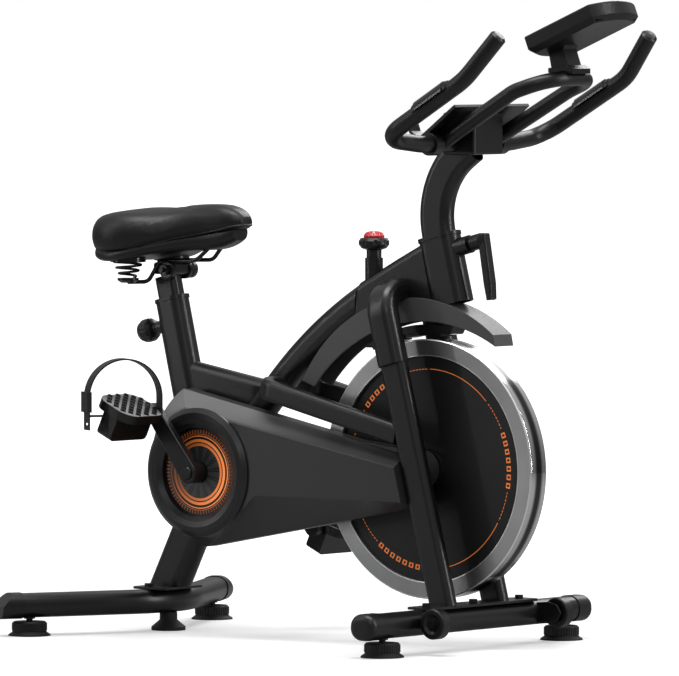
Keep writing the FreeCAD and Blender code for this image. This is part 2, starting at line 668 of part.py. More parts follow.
def build_drive():
    """Cranks, pedals, drive pulley and belt."""
    arm_out = ARM_INNER_Y + ARM_T
    axle = cross_rod(CRANK, -arm_out, arm_out, CRANK_AXLE_R)
    parts["drive_pulley"] = [pulley(CRANK, CRANK_AXLE_R, DRIVE_R, 26)]
    half = BELT_WIDTH / 2
    gap = SEAT_FIT
    outer_r = gap + BELT_T
    outer = tangent_link(CRANK, DRIVE_R + outer_r, AXLE, DRIVEN_R + outer_r, BELT_Y - half, BELT_Y + half)
    inner = tangent_link(CRANK, DRIVE_R + gap, AXLE, DRIVEN_R + gap, BELT_Y - half - 1, BELT_Y + half + 1)
    parts["drive_belt"] = [outer.cut(inner)]

    pedal_axis = (CRANK[0] + PEDAL_SPREAD[0], CRANK[1] + PEDAL_SPREAD[1])
    arm = tangent_link(CRANK, 18, pedal_axis, 14, -arm_out, -ARM_INNER_Y)
    arm = soften(arm, 3.0, lambda edge: abs(edge.CenterOfMass.y + arm_out) < 0.1)
    arm = arm.fuse(cross_rod(CRANK, -ARM_INNER_Y, -ARM_INNER_Y + 15, 18))
    spindle_end = PEDAL_INNER_Y + PEDAL_WIDTH - 7
    spindle = cross_rod(pedal_axis, -spindle_end, -ARM_INNER_Y, SPINDLE_R)
    arm = arm.cut(axle).cut(spindle)
    cap = turned([(0, 0), (11, 0), (11, 2), (9, 4), (0, 4)], at(CRANK, -arm_out), -ALONG_Y)
    body, strap = pedal_parts(at(pedal_axis, -PEDAL_INNER_Y - PEDAL_WIDTH / 2))
    across = V(-2 * PEDAL_SPREAD[0], 0, -2 * PEDAL_SPREAD[1])
    for node, solids in (("pedal_body", [body]), ("pedal_strap", strap)):
        parts[node + "_right"] = solids
        parts[node + "_left"] = [mirrored(solid).translated(across) for solid in solids]
    left_arm = mirrored(arm)
    left_arm.rotate(at(CRANK), ALONG_Y, 180)
    parts["crank_arms"] = [arm, left_arm]
    parts["crank_axle"] = [axle] + both(cap) + [spindle, mirrored(spindle).translated(across)]


def pedal_parts(centre):
    """Pedal body, and its toe strap with buckle, about the pedal's centre."""
    half_l = PEDAL_LENGTH / 2
    half_w = PEDAL_WIDTH / 2
    deck = soften(box(-half_l, half_l, -half_w, half_w, -2, 14), 26.0,
                  lambda edge: abs(edge.tangentAt(0).z) > 0.9)
    block = soften(box(-16, 16, -half_w + 4, half_w - 4, -44, -2), 8.0,
                   lambda edge: edge.CenterOfMass.z < -43 and abs(edge.tangentAt(0).x) > 0.9)
    bore = rod(V(0, -half_w + 6.5, 0), V(0, half_w + 1, 0), SPINDLE_R + RUN_FIT)
    body = deck.fuse(block).cut(bore)
    body.rotate(V(0, 0, 0), ALONG_Y, PEDAL_PITCH)

    width = 27.0
    thick = 2.6
    reach = half_w + 14
    low_z = -6
    tail_z = -28

    def arch(inset):
        """Loop of the strap's outer or inner line, pushed along its width."""
        y = reach - inset
        low = low_z + inset
        line = Part.Arc(V(0, -y, 28), V(0, 0, 91 - inset), V(0, y, 28)).toShape()
        sides = [Part.makeLine(V(0, y, 28), V(0, y, low)), Part.makeLine(V(0, y, low), V(0, -y, low)),
                 Part.makeLine(V(0, -y, low), V(0, -y, 28))]
        return Part.Face(Part.Wire([line] + sides)).translated(V(-width / 2, 0, 0)).extrude(V(width, 0, 0))

    strap = arch(0).cut(arch(thick))
    tail = box(-width / 2, width / 2, -reach, -reach + thick, tail_z, low_z)
    slot = box(-8, 8, -reach - 1, -reach + thick + 1, tail_z + 8, tail_z + 12)
    strap = strap.fuse(tail).cut(slot)
    buckle = soften(box(-18, 18, -reach - 4, -reach + thick + 2, 2, 36), 2.0,
                    lambda edge: abs(edge.tangentAt(0).z) > 0.9)
    for piece in (strap, buckle):
        piece.rotate(V(0, 0, 0), ALONG_Z, -32)
        piece.translate(V(-6, -8.5, 0))
    buckle = buckle.cut(strap).cut(body)
    strap = max(strap.cut(body).Solids, key=lambda solid: solid.Volume)
    return body.translated(centre), [strap.translated(centre), buckle.translated(centre)]


# ---- belt cover ---------------------------------------------------------------------
COVER_HUB = (-499.0, 291.0)
COVER_HUB_R = 143.0
FACE_R = 108.0


def leg_rear_x(z):
    """X of the fork leg's rear edge at height z, less a hair's gap."""
    return on_line(fork_foot, FORK_HEAD, z)[0] - FORK_DEPTH / 2 / fork_axis.z - 0.5


def cover_wire(y, hub, radius, angles, kink, low_z, top_z, inset):
    """One outline of the belt cover: an arc round the crank, then straight edges to the fork."""
    top, back, bottom = [at(radial(hub, radius - inset, angle), y) for angle in angles]
    corners = [bottom, V(kink[0], y, kink[1] + inset), V(leg_rear_x(low_z) - inset, y, low_z + inset),
               V(leg_rear_x(top_z) - inset, y, top_z - inset), top]
    edges = [Part.Arc(top, back, bottom).toShape()]
    edges += [Part.makeLine(first, last) for first, last in zip(corners, corners[1:])]
    return Part.Wire(edges)


def back_wire(y, inset):
    """Widest outline, where the two halves of the cover meet."""
    return cover_wire(y, COVER_HUB, COVER_HUB_R, (120.6, 190.8, 261), (-433, 166), 232, 318, inset)


def face_wire(y, inset):
    """Outline of the flat outer face."""
    return cover_wire(y, CRANK, FACE_R, (105.6, 206, 306), (-386, 242), 242, 299, inset)


def build_cover():
    """Two-part belt cover with its bezel, its crank disc and the bosses that carry it."""
    face_inner = COVER_FACE_Y + COVER_WALL
    outer = Part.makeLoft([back_wire(COVER_SPLIT_Y, 0), face_wire(COVER_FACE_Y, 0)], True, True)
    void = Part.makeLoft([back_wire(COVER_SPLIT_Y, 4), face_wire(face_inner, 4)], True, True)
    lip = Part.Face(back_wire(COVER_SPLIT_Y, 4)).extrude(V(0, 5, 0))
    outer = outer.cut(void).cut(lip)
    bezel_bore = DISC_R + 3
    outer = outer.cut(cross_rod(CRANK, COVER_FACE_Y - 1, COVER_SPLIT_Y, bezel_bore + 0.2))

    plate_in = COVER_INNER_Y - COVER_WALL
    depth = COVER_INNER_Y - COVER_SPLIT_Y
    nose_rear = (-200.0, 289.2)
    nose_r = DRIVEN_R + 8
    main = Part.Face(back_wire(COVER_SPLIT_Y, 0)).extrude(V(0, depth, 0))
    nose = tangent_link(nose_rear, nose_r + 17, AXLE, nose_r, COVER_SPLIT_Y, COVER_INNER_Y)
    main_void = Part.Face(back_wire(COVER_SPLIT_Y - 1, 4)).extrude(V(0, depth + 1 - COVER_WALL, 0))
    nose_void = tangent_link(nose_rear, nose_r + 17 - COVER_WALL, AXLE, nose_r - COVER_WALL,
                             COVER_SPLIT_Y + COVER_WALL, plate_in)
    inner = main.fuse(nose).cut(main_void).cut(nose_void)
    inner = inner.cut(cross_rod(CRANK, -60, 0, SHELL_R - 3))
    inner = inner.cut(cross_rod(AXLE, -45, 0, 22)).cut(cross_rod(AXLE, -60, -45, 15))

    bezel = [(DISC_R, face_inner + 4), (bezel_bore, face_inner + 4), (bezel_bore, COVER_FACE_Y),
             (RING_R, COVER_FACE_Y), (RING_R, COVER_FACE_Y - 3), (100, COVER_FACE_Y - 9),
             (92, COVER_FACE_Y - 11), (83, COVER_FACE_Y - 10), (DISC_R, COVER_FACE_Y - 4)]
    disc = [(12, face_inner), (DISC_R, face_inner), (DISC_R, face_inner + 4), (12, face_inner + 4)]
    bosses = []
    for station, y_end in (((-598, 380), -SEAT_TUBE_WIDTH / 2), ((-591, 190), -LEG_WIDTH / 2),
                           ((-515, 392), -CROSS_WIDTH / 2)):
        bosses.append(cross_rod(station, COVER_INNER_Y, y_end, 6))
    parts["belt_cover_outer"] = [outer]
    parts["belt_cover_inner"] = [inner] + bosses
    parts["cover_bezel"] = [turned(bezel, at(CRANK), ALONG_Y), turned(disc, at(CRANK), ALONG_Y)]


# ---- flywheel guard and brake -------------------------------------------------------
def build_brake():
    """Guard over the flywheel, magnetic brake arm and the resistance knob that presses it."""
    rod_hole = rod(V(KNOB_X, 0, 400), V(KNOB_X, 0, 700), ROD_R + 1)
    void = fender_shape(FENDER_WALL, 30, FENDER_WALL, FENDER_HALF - FENDER_WALL)
    parts["flywheel_guard"] = [fender_env.cut(void).cut(rod_hole)]
    pin_half = FENDER_HALF - FENDER_WALL
    pin = cross_rod(BRAKE_PIVOT, -pin_half, pin_half, 4)

    arm = arc_band(AXLE, brake_inner_r, brake_outer_r, 80, BRAKE_TAIL, -BRAKE_HALF, BRAKE_HALF)
    lug_foot = radial(AXLE, (brake_inner_r + brake_outer_r) / 2, 80)
    arm = arm.fuse(tangent_link(lug_foot, 6.4, BRAKE_PIVOT, 8, -BRAKE_HALF, BRAKE_HALF))
    tab_top = radial(AXLE, brake_outer_r, BRAKE_TAIL)[1] + 2
    arm = arm.fuse(box(KNOB_X - 10, KNOB_X + 8, -9, 9, tab_top - 10, tab_top))
    arm = arm.cut(cross_rod(BRAKE_PIVOT, -30, 30, 4 + RUN_FIT))
    magnets = [arc_band(AXLE, brake_inner_r - 5.5, brake_inner_r, start, start + 8, -16, 16)
               for start in (84, 95, 106)]
    parts["brake_arm"] = [arm] + magnets

    rod_foot = tab_top + SEAT_FIT
    rod_top = SLEEVE_TOP_Z
    parts["brake_rod"] = [rod(V(KNOB_X, 0, rod_foot), V(KNOB_X, 0, rod_top), ROD_R)]
    bore_r = NECK_R + RUN_FIT
    sleeve = turned([(bore_r, 585), (15, 585), (15, SLEEVE_TOP_Z), (bore_r, SLEEVE_TOP_Z)],
                    V(KNOB_X, 0, 0), ALONG_Z)
    parts["brake_mount"] = [pin, sleeve.cut(gusset_env)]
    knob = turned([(ROD_R + RUN_FIT, 624), (NECK_R, 624), (NECK_R, 653), (21, 656), (25.5, 662), (25.5, 668),
                   (22, 673), (0, 674), (0, rod_top + 1), (ROD_R + RUN_FIT, rod_top + 1)],
                  V(KNOB_X, 0, 0), ALONG_Z)
    for k in range(8):
        angle = math.radians(45 * k)
        post = V(KNOB_X + 30 * math.cos(angle), 30 * math.sin(angle), 650)
        knob = knob.cut(rod(post, post + V(0, 0, 30), 6.5))
    cap = turned([(0, 674), (17, 673.2), (17.5, 677), (14, 682), (8, 684), (0, 684.5)],
                 V(KNOB_X, 0, 0), ALONG_Z)
    parts["resistance_knob"] = [knob]
    parts["knob_cap"] = [cap.cut(knob)]


# ---- saddle and seat post -----------------------------------------------------------
def saddle_section(x, half, low, high):
    """Cross-section of the saddle at a station."""
    height = high - low
    wire = section_wire(height, 2 * half, min(height, 2 * half) * 0.46)
    turn = FreeCAD.Rotation(ALONG_Z, ALONG_Y, ALONG_X, "ZYX")
    wire.Placement = FreeCAD.Placement(V(x, 0, (low + high) / 2), turn)
    return wire


def build_saddle():
    """Seat post, tilt clamp and sprung saddle."""
    top = at(on_line(SEAT_TUBE_FOOT, SEAT_TUBE_TOP, POST_TOP_Z))
    bottom = at(SEAT_TUBE_TOP) - seat_axis * POST_INSERT
    post = oval_tube([bottom, top], POST_DEPTH, POST_WIDTH, 10.0, 2.0)
    cap = oval_bar([top, top + seat_axis * 3], POST_DEPTH, POST_WIDTH, 10.0)
    stub_x = top.x
    stub = rod(V(stub_x, 0, POST_TOP_Z), V(stub_x, 0, 625), 11)
    stub = stub.cut(oval_bar([bottom, top], POST_DEPTH, POST_WIDTH, 10.0))
    parts["seat_post"] = [post, cap.fuse(stub)]

    bolt = cross_rod(TILT_AXIS, -42, 42, 4)
    head_y = 28
    bolt = bolt.fuse(hex_head(at(TILT_AXIS, -head_y), -ALONG_Y, 16, 8))
    bolt = bolt.fuse(turned([(0, 0), (13, 0), (15, 4), (15, 12), (11, 15), (0, 15)],
                            at(TILT_AXIS, head_y), ALONG_Y))
    block = box(stub_x - 17, TILT_AXIS[0] + 12, -18, 18, POST_TOP_Z + 6, 624)
    block = soften(block, 5.0, lambda edge: abs(edge.tangentAt(0).y) > 0.9)
    parts["seat_clamp"] = [cut_all(block, [cap, stub, bolt]), bolt]

    rails = []
    rail_z = SPRING_SEAT_Z - 7
    for side in (-1, 1):
        points = [V(-530, side * 12, 668), V(-572, side * 22, 629), V(-652, side * 22, 627),
                  V(-676, side * 24, rail_z), V(SPRING_X, side * SPRING_Y, rail_z)]
        rails.append(round_bar(points, [24.0, 12.0, 12.0], 3.5))
    disc = [(4 + RUN_FIT, 18.4), (12, 18.4), (16, 19.5), (16, 26), (13, 27.5), (4 + RUN_FIT, 27.5)]
    discs = [turned(disc, at(TILT_AXIS), V(0, side, 0)) for side in (-1, 1)]
    discs = [cut_all(disc_solid, rails) for disc_solid in discs]

    cushion = Part.makeLoft([saddle_section(*row[:4]) for row in SADDLE_SECTIONS], True, False)
    base_rows = [(x, half - 9, low - drop, low + 9) for x, half, low, _, drop in SADDLE_SECTIONS[1:-1]]
    base = Part.makeLoft([saddle_section(*row) for row in base_rows], True, False).cut(cushion)
    base = cut_all(base, rails)

    seats = []
    springs = []
    flare = math.degrees(math.atan2(SPRING_TOP_R - SPRING_LOW_R, SPRING_TOP_Z - SPRING_SEAT_Z))
    for side in (-1, 1):
        middle = V(SPRING_X, side * SPRING_Y, 0)
        dish = turned([(0, rail_z - 1), (12, rail_z - 1), (18, SPRING_SEAT_Z - 4), (18, SPRING_SEAT_Z),
                       (0, SPRING_SEAT_Z)], middle, ALONG_Z)
        cap = rod(middle + V(0, 0, SPRING_TOP_Z), middle + V(0, 0, SPRING_TOP_Z + 14), 30)
        dish = cut_all(dish, rails)
        seats += [dish, cut_all(cap, [cushion, base])]
        helix = Part.makeHelix(SPRING_PITCH, SPRING_TOP_Z - SPRING_SEAT_Z, SPRING_LOW_R, flare)
        profile = Part.Wire(Part.makeCircle(SPRING_WIRE_R, V(SPRING_LOW_R, 0, 0), ALONG_Y))
        spring = Part.Wire(helix).makePipeShell([profile], True, True)
        spring = spring.translated(middle + V(0, 0, SPRING_SEAT_Z + SPRING_WIRE_R - 0.2))
        springs.append(spring.cut(dish).cut(cap))
    parts["saddle_cushion"] = [cushion]
    parts["saddle_base"] = [base]
    parts["saddle_rails"] = rails + discs + seats
    parts["saddle_springs"] = springs


def bushing(top, axis, depth, width, wall_corner, bore_depth, bore_width, bore_corner, length):
    """Plastic guide that fills the gap between a frame tube and the post that slides in it."""
    points = [top - axis * length, top]
    grow = 2 * RUN_FIT
    outer = oval_bar(points, depth, width, wall_corner)
    inner = oval_bar([points[0] - axis, points[1] + axis], bore_depth + grow, bore_width + grow,
                     bore_corner + RUN_FIT)
    return outer.cut(inner)


def build_seat_pin():
    """Guide in the seat tube and the spring pin that locks the post."""
    guide = bushing(at(SEAT_TUBE_TOP), seat_axis, SEAT_TUBE_DEPTH - 2 * TUBE_WALL,
                    SEAT_TUBE_WIDTH - 2 * TUBE_WALL, 19.0 - TUBE_WALL, POST_DEPTH, POST_WIDTH, 10.0, 80)
    out = ALONG_Y.cross(seat_axis) * -1
    centre = at(on_line(SEAT_TUBE_FOOT, SEAT_TUBE_TOP, 522))
    tip = POST_DEPTH / 2 + 0.5
    knob_neck = SEAT_TUBE_DEPTH / 2 + 12
    profile = [(0, tip), (5, tip), (6, tip + 1), (6, knob_neck), (10, knob_neck), (10, knob_neck + 4),
               (16, knob_neck + 7), (20, knob_neck + 14), (20, knob_neck + 26), (16, knob_neck + 34),
               (8, knob_neck + 39), (0, knob_neck + 40)]
    pin = turned(profile, centre, out)
    for k in range(8):
        angle = math.radians(45 * k)
        across = ALONG_Y * math.cos(angle) + seat_axis * math.sin(angle)
        groove = centre + across * 24.5 + out * knob_neck
        pin = pin.cut(rod(groove, groove + out * 45, 6))
    parts["seat_pin_knob"] = [pin]
    boss = turned([(6 + RUN_FIT, 20), (11, 20), (11, knob_neck - 2), (6 + RUN_FIT, knob_neck - 2)],
                  centre, out)
    hole = rod(centre, centre + out * 40, 6 + RUN_FIT)
    parts["seat_tube"] = [parts["seat_tube"][0].cut(hole), boss.cut(seat_tube_env)]
    return guide.cut(hole)


# ---- handlebar ----------------------------------------------------------------------
def build_handlebar():
    """Sliding handlebar post, bars, tablet tray and the lever that locks the post."""
    corner = at(on_line(HEAD_FOOT, HEAD_TOP, 767))
    rise = V(math.cos(math.radians(35)), 0, math.sin(math.radians(35)))
    post_points = [at(on_line(HEAD_FOOT, HEAD_TOP, 586)), corner, corner + rise * 109]
    post = oval_tube(post_points, BAR_POST_DEPTH, BAR_POST_WIDTH, 15.0, 2.0, ALONG_Y, [129.0])
    block_box = box(BAR_X - 18, BAR_X + 48, -40, 40, 814, 883)
    post = post.cut(block_box)

    right = [V(206, -205, 1006), V(150, -219, 939), V(BAR_X - 4, -214, 842), V(BAR_X, -120, BAR_Z)]
    left = [V(point.x, -point.y, point.z) for point in reversed(right)]
    radii = [90.0, 44.0, 150.0, 150.0, 44.0, 90.0]
    bar = round_bar(right + left, radii, BAR_R)
    hollow_bar = bar.cut(round_bar(right + left, radii, BAR_R - 2))
    loop_right = [V(BAR_X, -66, BAR_Z), V(140, -74, 919), V(203, -60, 940)]
    loop_left = [V(point.x, -point.y, point.z) for point in reversed(loop_right)]
    loop_radii = [60.0, 52.0, 52.0, 60.0]
    loop_env = round_bar(loop_right + loop_left, loop_radii, LOOP_R)
    loop = loop_env.cut(round_bar(loop_right + loop_left, loop_radii, LOOP_R - 2)).cut(bar)
    parts["elbow_loop"] = [loop]
    block = soften(block_box, 4.0, lambda edge: True)
    parts["handlebar_post"] = [post, block.cut(bar)]

    tip_out = (right[0] - right[1]).normalize()
    plug = turned([(0, -12), (BAR_R - 2, -12), (BAR_R - 2, 0), (BAR_R, 0), (BAR_R, 3), (BAR_R - 4, 7),
                   (0, 8)], right[0], tip_out)
    parts["handlebar"] = [hollow_bar] + both(plug)

    arm_run = (right[1] - right[2]).normalize()
    low = right[2] + arm_run * 92
    high = right[2] + arm_run * 158
    sensor_side = Part.makeBox(300, 300, 60, V(-150, -150, 2))
    facing = arm_run.cross(ALONG_Y).normalize()
    sensor_side.Placement = FreeCAD.Placement((low + high) * 0.5, FreeCAD.Rotation(ALONG_Z, facing))
    bar_core = rod(low - arm_run * 12, high + arm_run * 12, BAR_R)
    pad = rod(low - arm_run * 7, high + arm_run * 7, BAR_R + 2.5).common(sensor_side).cut(bar).cut(bar_core)
    plate = rod(low, high, BAR_R + 5).common(sensor_side)
    plate = plate.cut(rod(low - arm_run, high + arm_run, BAR_R + 2.5))
    parts["handlebar"] += both(pad)
    parts["pulse_sensors"] = both(plate)

    tray = side_plate([(37, 897), (40, 893), (-33, 837), (-56, 850), (-60, 862), (-56, 864), (-52, 853),
                       (-36, 843)], -100, 100)
    ledge_gap = side_plate([(-100, 845), (-44, 845), (-44, 866), (-100, 866)], -74, 74)
    tray = max(cut_all(tray, [block_box, post, bar, ledge_gap]).Solids, key=lambda solid: solid.Volume)
    clamp = cross_rod((BAR_X, BAR_Z), -100, -80, BAR_R + 5)
    parts["tablet_tray"] = [tray] + both(cut_all(clamp, [bar, tray, loop_env]))

    clamp_outline = [(180, 946), (222, 948), (222, 956), (212, 962), (172, 957), (172, 950)]
    neck_clamp = side_plate(clamp_outline, -24, 24).cut(loop_env)
    neck = side_plate([(174, 957), (208, 961), (198, 988), (206, 1008), (172, 994), (168, 984)], -18, 18)

    guide = bushing(at(HEAD_TOP), head_axis, HEAD_DEPTH - 5, HEAD_WIDTH - 5, 17.5,
                    BAR_POST_DEPTH, BAR_POST_WIDTH, 15.0, 70)
    out = ALONG_Y.cross(head_axis)
    centre = at(on_line(HEAD_FOOT, HEAD_TOP, 652))
    boss = turned([(8 + RUN_FIT, 30), (15, 30), (15, 60), (8 + RUN_FIT, 60)], centre, out).cut(head_env)
    shaft = turned([(0, 31.5), (7, 31.5), (8, 33), (8, 64), (13, 66), (13, 84), (9, 94), (0, 94)],
                   centre, out)
    lever = side_plate([(13, 684), (28, 686), (42, 604), (43, 577), (33, 574), (27, 600)], -9, 9)
    lever = soften(lever, 3.0, lambda edge: edge.Length > 15)
    parts["lock_lever"] = [shaft.fuse(lever)]
    hole = rod(centre, centre + out * 50, 8 + RUN_FIT)
    parts["head_tube"] = [parts["head_tube"][0].cut(hole), boss]
    return guide.cut(hole), [neck_clamp, neck]


# ---- console ------------------------------------------------------------------------
def build_console(stand):
    """Display housing in two shells, its screen and its button, built flat, then tilted onto its stand."""
    half_l = CONSOLE_SIDE / 2
    half_w = CONSOLE_WIDTH / 2

    def plan(inset, z_low, z_high):
        """Bow-ended plan outline pushed up from z_low to z_high."""
        y = half_w - inset
        tip = half_l + CONSOLE_BULGE - inset
        edges = [Part.makeLine(V(-half_l, -y, z_low), V(half_l, -y, z_low)),
                 Part.Arc(V(half_l, -y, z_low), V(tip, 0, z_low), V(half_l, y, z_low)).toShape(),
                 Part.makeLine(V(half_l, y, z_low), V(-half_l, y, z_low)),
                 Part.Arc(V(-half_l, y, z_low), V(-tip, 0, z_low), V(-half_l, -y, z_low)).toShape()]
        return Part.Face(Part.Wire(edges)).extrude(V(0, 0, z_high - z_low))

    split = -10
    wall = 2.5
    front = soften(plan(0, split, 0), 3.0, lambda edge: edge.CenterOfMass.z > -0.1)
    front = front.cut(plan(wall, split - 1, -wall))
    rear = plan(0, -CONSOLE_T, split)
    rear = rear.makeChamfer(9.0, [edge for edge in rear.Edges if edge.CenterOfMass.z < -CONSOLE_T + 0.1])
    rear_env = rear
    rear = rear.cut(plan(wall + 6, -CONSOLE_T + wall, split + 1))
    window = box(6, 50, -37, 37, -wall - 1, 1)
    lens = box(6, 50, -37, 37, -wall, -0.6)
    button_x = -30
    button_r = 8.5
    front = front.cut(window).cut(rod(V(button_x, 0, -9), V(button_x, 0, 1), button_r + 0.1))
    button = turned([(0, -7), (button_r, -7), (button_r, 1.5), (button_r - 1.5, 2.5), (0, 2.5)],
                    V(button_x, 0, 0), ALONG_Z)
    board = box(-55, 55, -45, 45, split - 3, split - 1.4)
    pins = [rod(V(x, y, -CONSOLE_T + wall), V(x, y, split - 3), 3) for x in (-45, 45) for y in (-35, 35)]
    tilt = FreeCAD.Placement(V(CONSOLE_CENTRE[0], 0, CONSOLE_CENTRE[1]),
                             FreeCAD.Rotation(ALONG_Y, -CONSOLE_TILT))
    for solid in [front, rear, rear_env, board, lens, button] + pins:
        solid.Placement = tilt.multiply(solid.Placement)
    clamp, neck = stand
    parts["console_case"] = [front, rear, board, clamp, neck.cut(rear_env)] + pins
    parts["console_screen"] = [lens]
    parts["console_button"] = [button]


build_base()
build_frame()
build_flywheel()
build_drive()
build_cover()
build_brake()
build_saddle()
seat_guide = build_seat_pin()
head_guide, console_stand = build_handlebar()
parts["tube_bushings"] = [seat_guide, head_guide]
build_console(console_stand)

whole = Part.makeCompound([solid for solids in parts.values() for solid in solids])
extent = whole.optimalBoundingBox()
origin_shift = V(-(extent.XMin + extent.XMax) / 2, 0, -extent.ZMin)

os.makedirs("parts", exist_ok=True)
for node, solids in parts.items():
    pieces = [piece for solid in solids for piece in solid.Solids]
    shape = Part.makeCompound([piece.translated(origin_shift) for piece in pieces])
    shape.exportStep("parts/" + node + ".step")
    print(node, len(pieces), "solids", round(sum(piece.Volume for piece in pieces) / 1000, 1), "cm3",
          all(piece.isValid() for piece in pieces))
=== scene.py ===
"""Indoor exercise bike: finishes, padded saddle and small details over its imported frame."""
import json
import logging
import math
from dataclasses import dataclass
from enum import Enum
from typing import Any, Optional, Sequence, Union

import bmesh
import bpy
from mathutils import Matrix, Vector
from mathutils.bvhtree import BVHTree


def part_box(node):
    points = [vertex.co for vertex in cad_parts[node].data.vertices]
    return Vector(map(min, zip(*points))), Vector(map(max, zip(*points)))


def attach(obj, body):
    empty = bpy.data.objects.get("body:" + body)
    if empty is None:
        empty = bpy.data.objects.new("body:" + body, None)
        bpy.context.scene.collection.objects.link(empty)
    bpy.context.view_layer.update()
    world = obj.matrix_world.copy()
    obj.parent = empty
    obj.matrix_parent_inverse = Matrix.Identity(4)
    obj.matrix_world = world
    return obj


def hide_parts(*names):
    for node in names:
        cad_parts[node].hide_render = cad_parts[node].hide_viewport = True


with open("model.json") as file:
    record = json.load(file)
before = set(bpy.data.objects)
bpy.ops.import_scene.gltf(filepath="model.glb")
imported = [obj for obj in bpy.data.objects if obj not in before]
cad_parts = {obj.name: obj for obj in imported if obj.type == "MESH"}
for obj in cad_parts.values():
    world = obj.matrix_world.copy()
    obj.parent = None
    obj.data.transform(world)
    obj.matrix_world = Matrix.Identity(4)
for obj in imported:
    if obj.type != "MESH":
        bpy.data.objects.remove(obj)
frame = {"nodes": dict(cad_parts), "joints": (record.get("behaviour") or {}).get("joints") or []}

LOG = logging.getLogger("exercise_bike")
Triple = tuple[float, float, float]
ORIGIN: Triple = (0.0, 0.0, 0.0)
RADIANS = math.pi / 180
BEVEL_SAMPLES = 6


# ---- shader building ----------------------------------------------------------------
class Value:
    """A shader number that Python arithmetic can be written on."""

    def __init__(self, tree: bpy.types.NodeTree, socket: bpy.types.NodeSocket) -> None:
        """Wrap one output socket of a node tree."""
        self.tree = tree
        self.socket = socket

    def maths(self, operation: str, *others: Union["Value", float], flip: bool = False) -> "Value":
        """Add a Math node.

        Args:
            operation: name of the Math node's operation.
            others: further operands after this one.
            flip: put this value last instead of first.

        Returns:
            The node's result.
        """
        node = self.tree.nodes.new("ShaderNodeMath")
        node.operation = operation
        operands = [*others, self] if flip else [self, *others]
        for socket, operand in zip(node.inputs, operands):
            if isinstance(operand, Value):
                self.tree.links.new(operand.socket, socket)
            else:
                socket.default_value = operand
        return Value(self.tree, node.outputs[0])

    def __add__(self, other: Union["Value", float]) -> "Value":
        """Sum."""
        return self.maths("ADD", other)

    def __sub__(self, other: Union["Value", float]) -> "Value":
        """Difference."""
        return self.maths("SUBTRACT", other)

    def __rsub__(self, other: float) -> "Value":
        """Difference from a plain number."""
        return self.maths("SUBTRACT", other, flip=True)

    def __mul__(self, other: Union["Value", float]) -> "Value":
        """Product."""
        return self.maths("MULTIPLY", other)

    def __truediv__(self, other: Union["Value", float]) -> "Value":
        """Quotient."""
        return self.maths("DIVIDE", other)

    def __gt__(self, other: Union["Value", float]) -> "Value":
        """1 where this is the greater."""
        return self.maths("GREATER_THAN", other)

    def __lt__(self, other: Union["Value", float]) -> "Value":
        """1 where this is the smaller."""
        return self.maths("LESS_THAN", other)

    __radd__ = __add__
    __rmul__ = __mul__

    def between(self, low: float, high: float) -> "Value":
        """1 where this lies between two numbers."""
        return (self > low) * (self < high)

    def ramp(self, low: float, high: float) -> "Value":
        """0 at low, 1 at high, smooth between and clamped outside."""
        node = self.tree.nodes.new("ShaderNodeMapRange")
        node.interpolation_type = "SMOOTHSTEP"
        self.tree.links.new(self.socket, node.inputs["Value"])
        node.inputs["From Min"].default_value = low
        node.inputs["From Max"].default_value = high
        return Value(self.tree, node.outputs["Result"])

    def hypot(self, other: "Value") -> "Value":
        """Length of the vector that has this and another value as its sides."""
        return (self * self + other * other).maths("SQRT")

    def wave(self, count: float) -> "Value":
        """Sine of this value times a count, brought to the range 0 to 1."""
        return (self * count).maths("SINE") * 0.5 + 0.5


Input = Union[Value, bpy.types.NodeSocket, float, Sequence[float]]


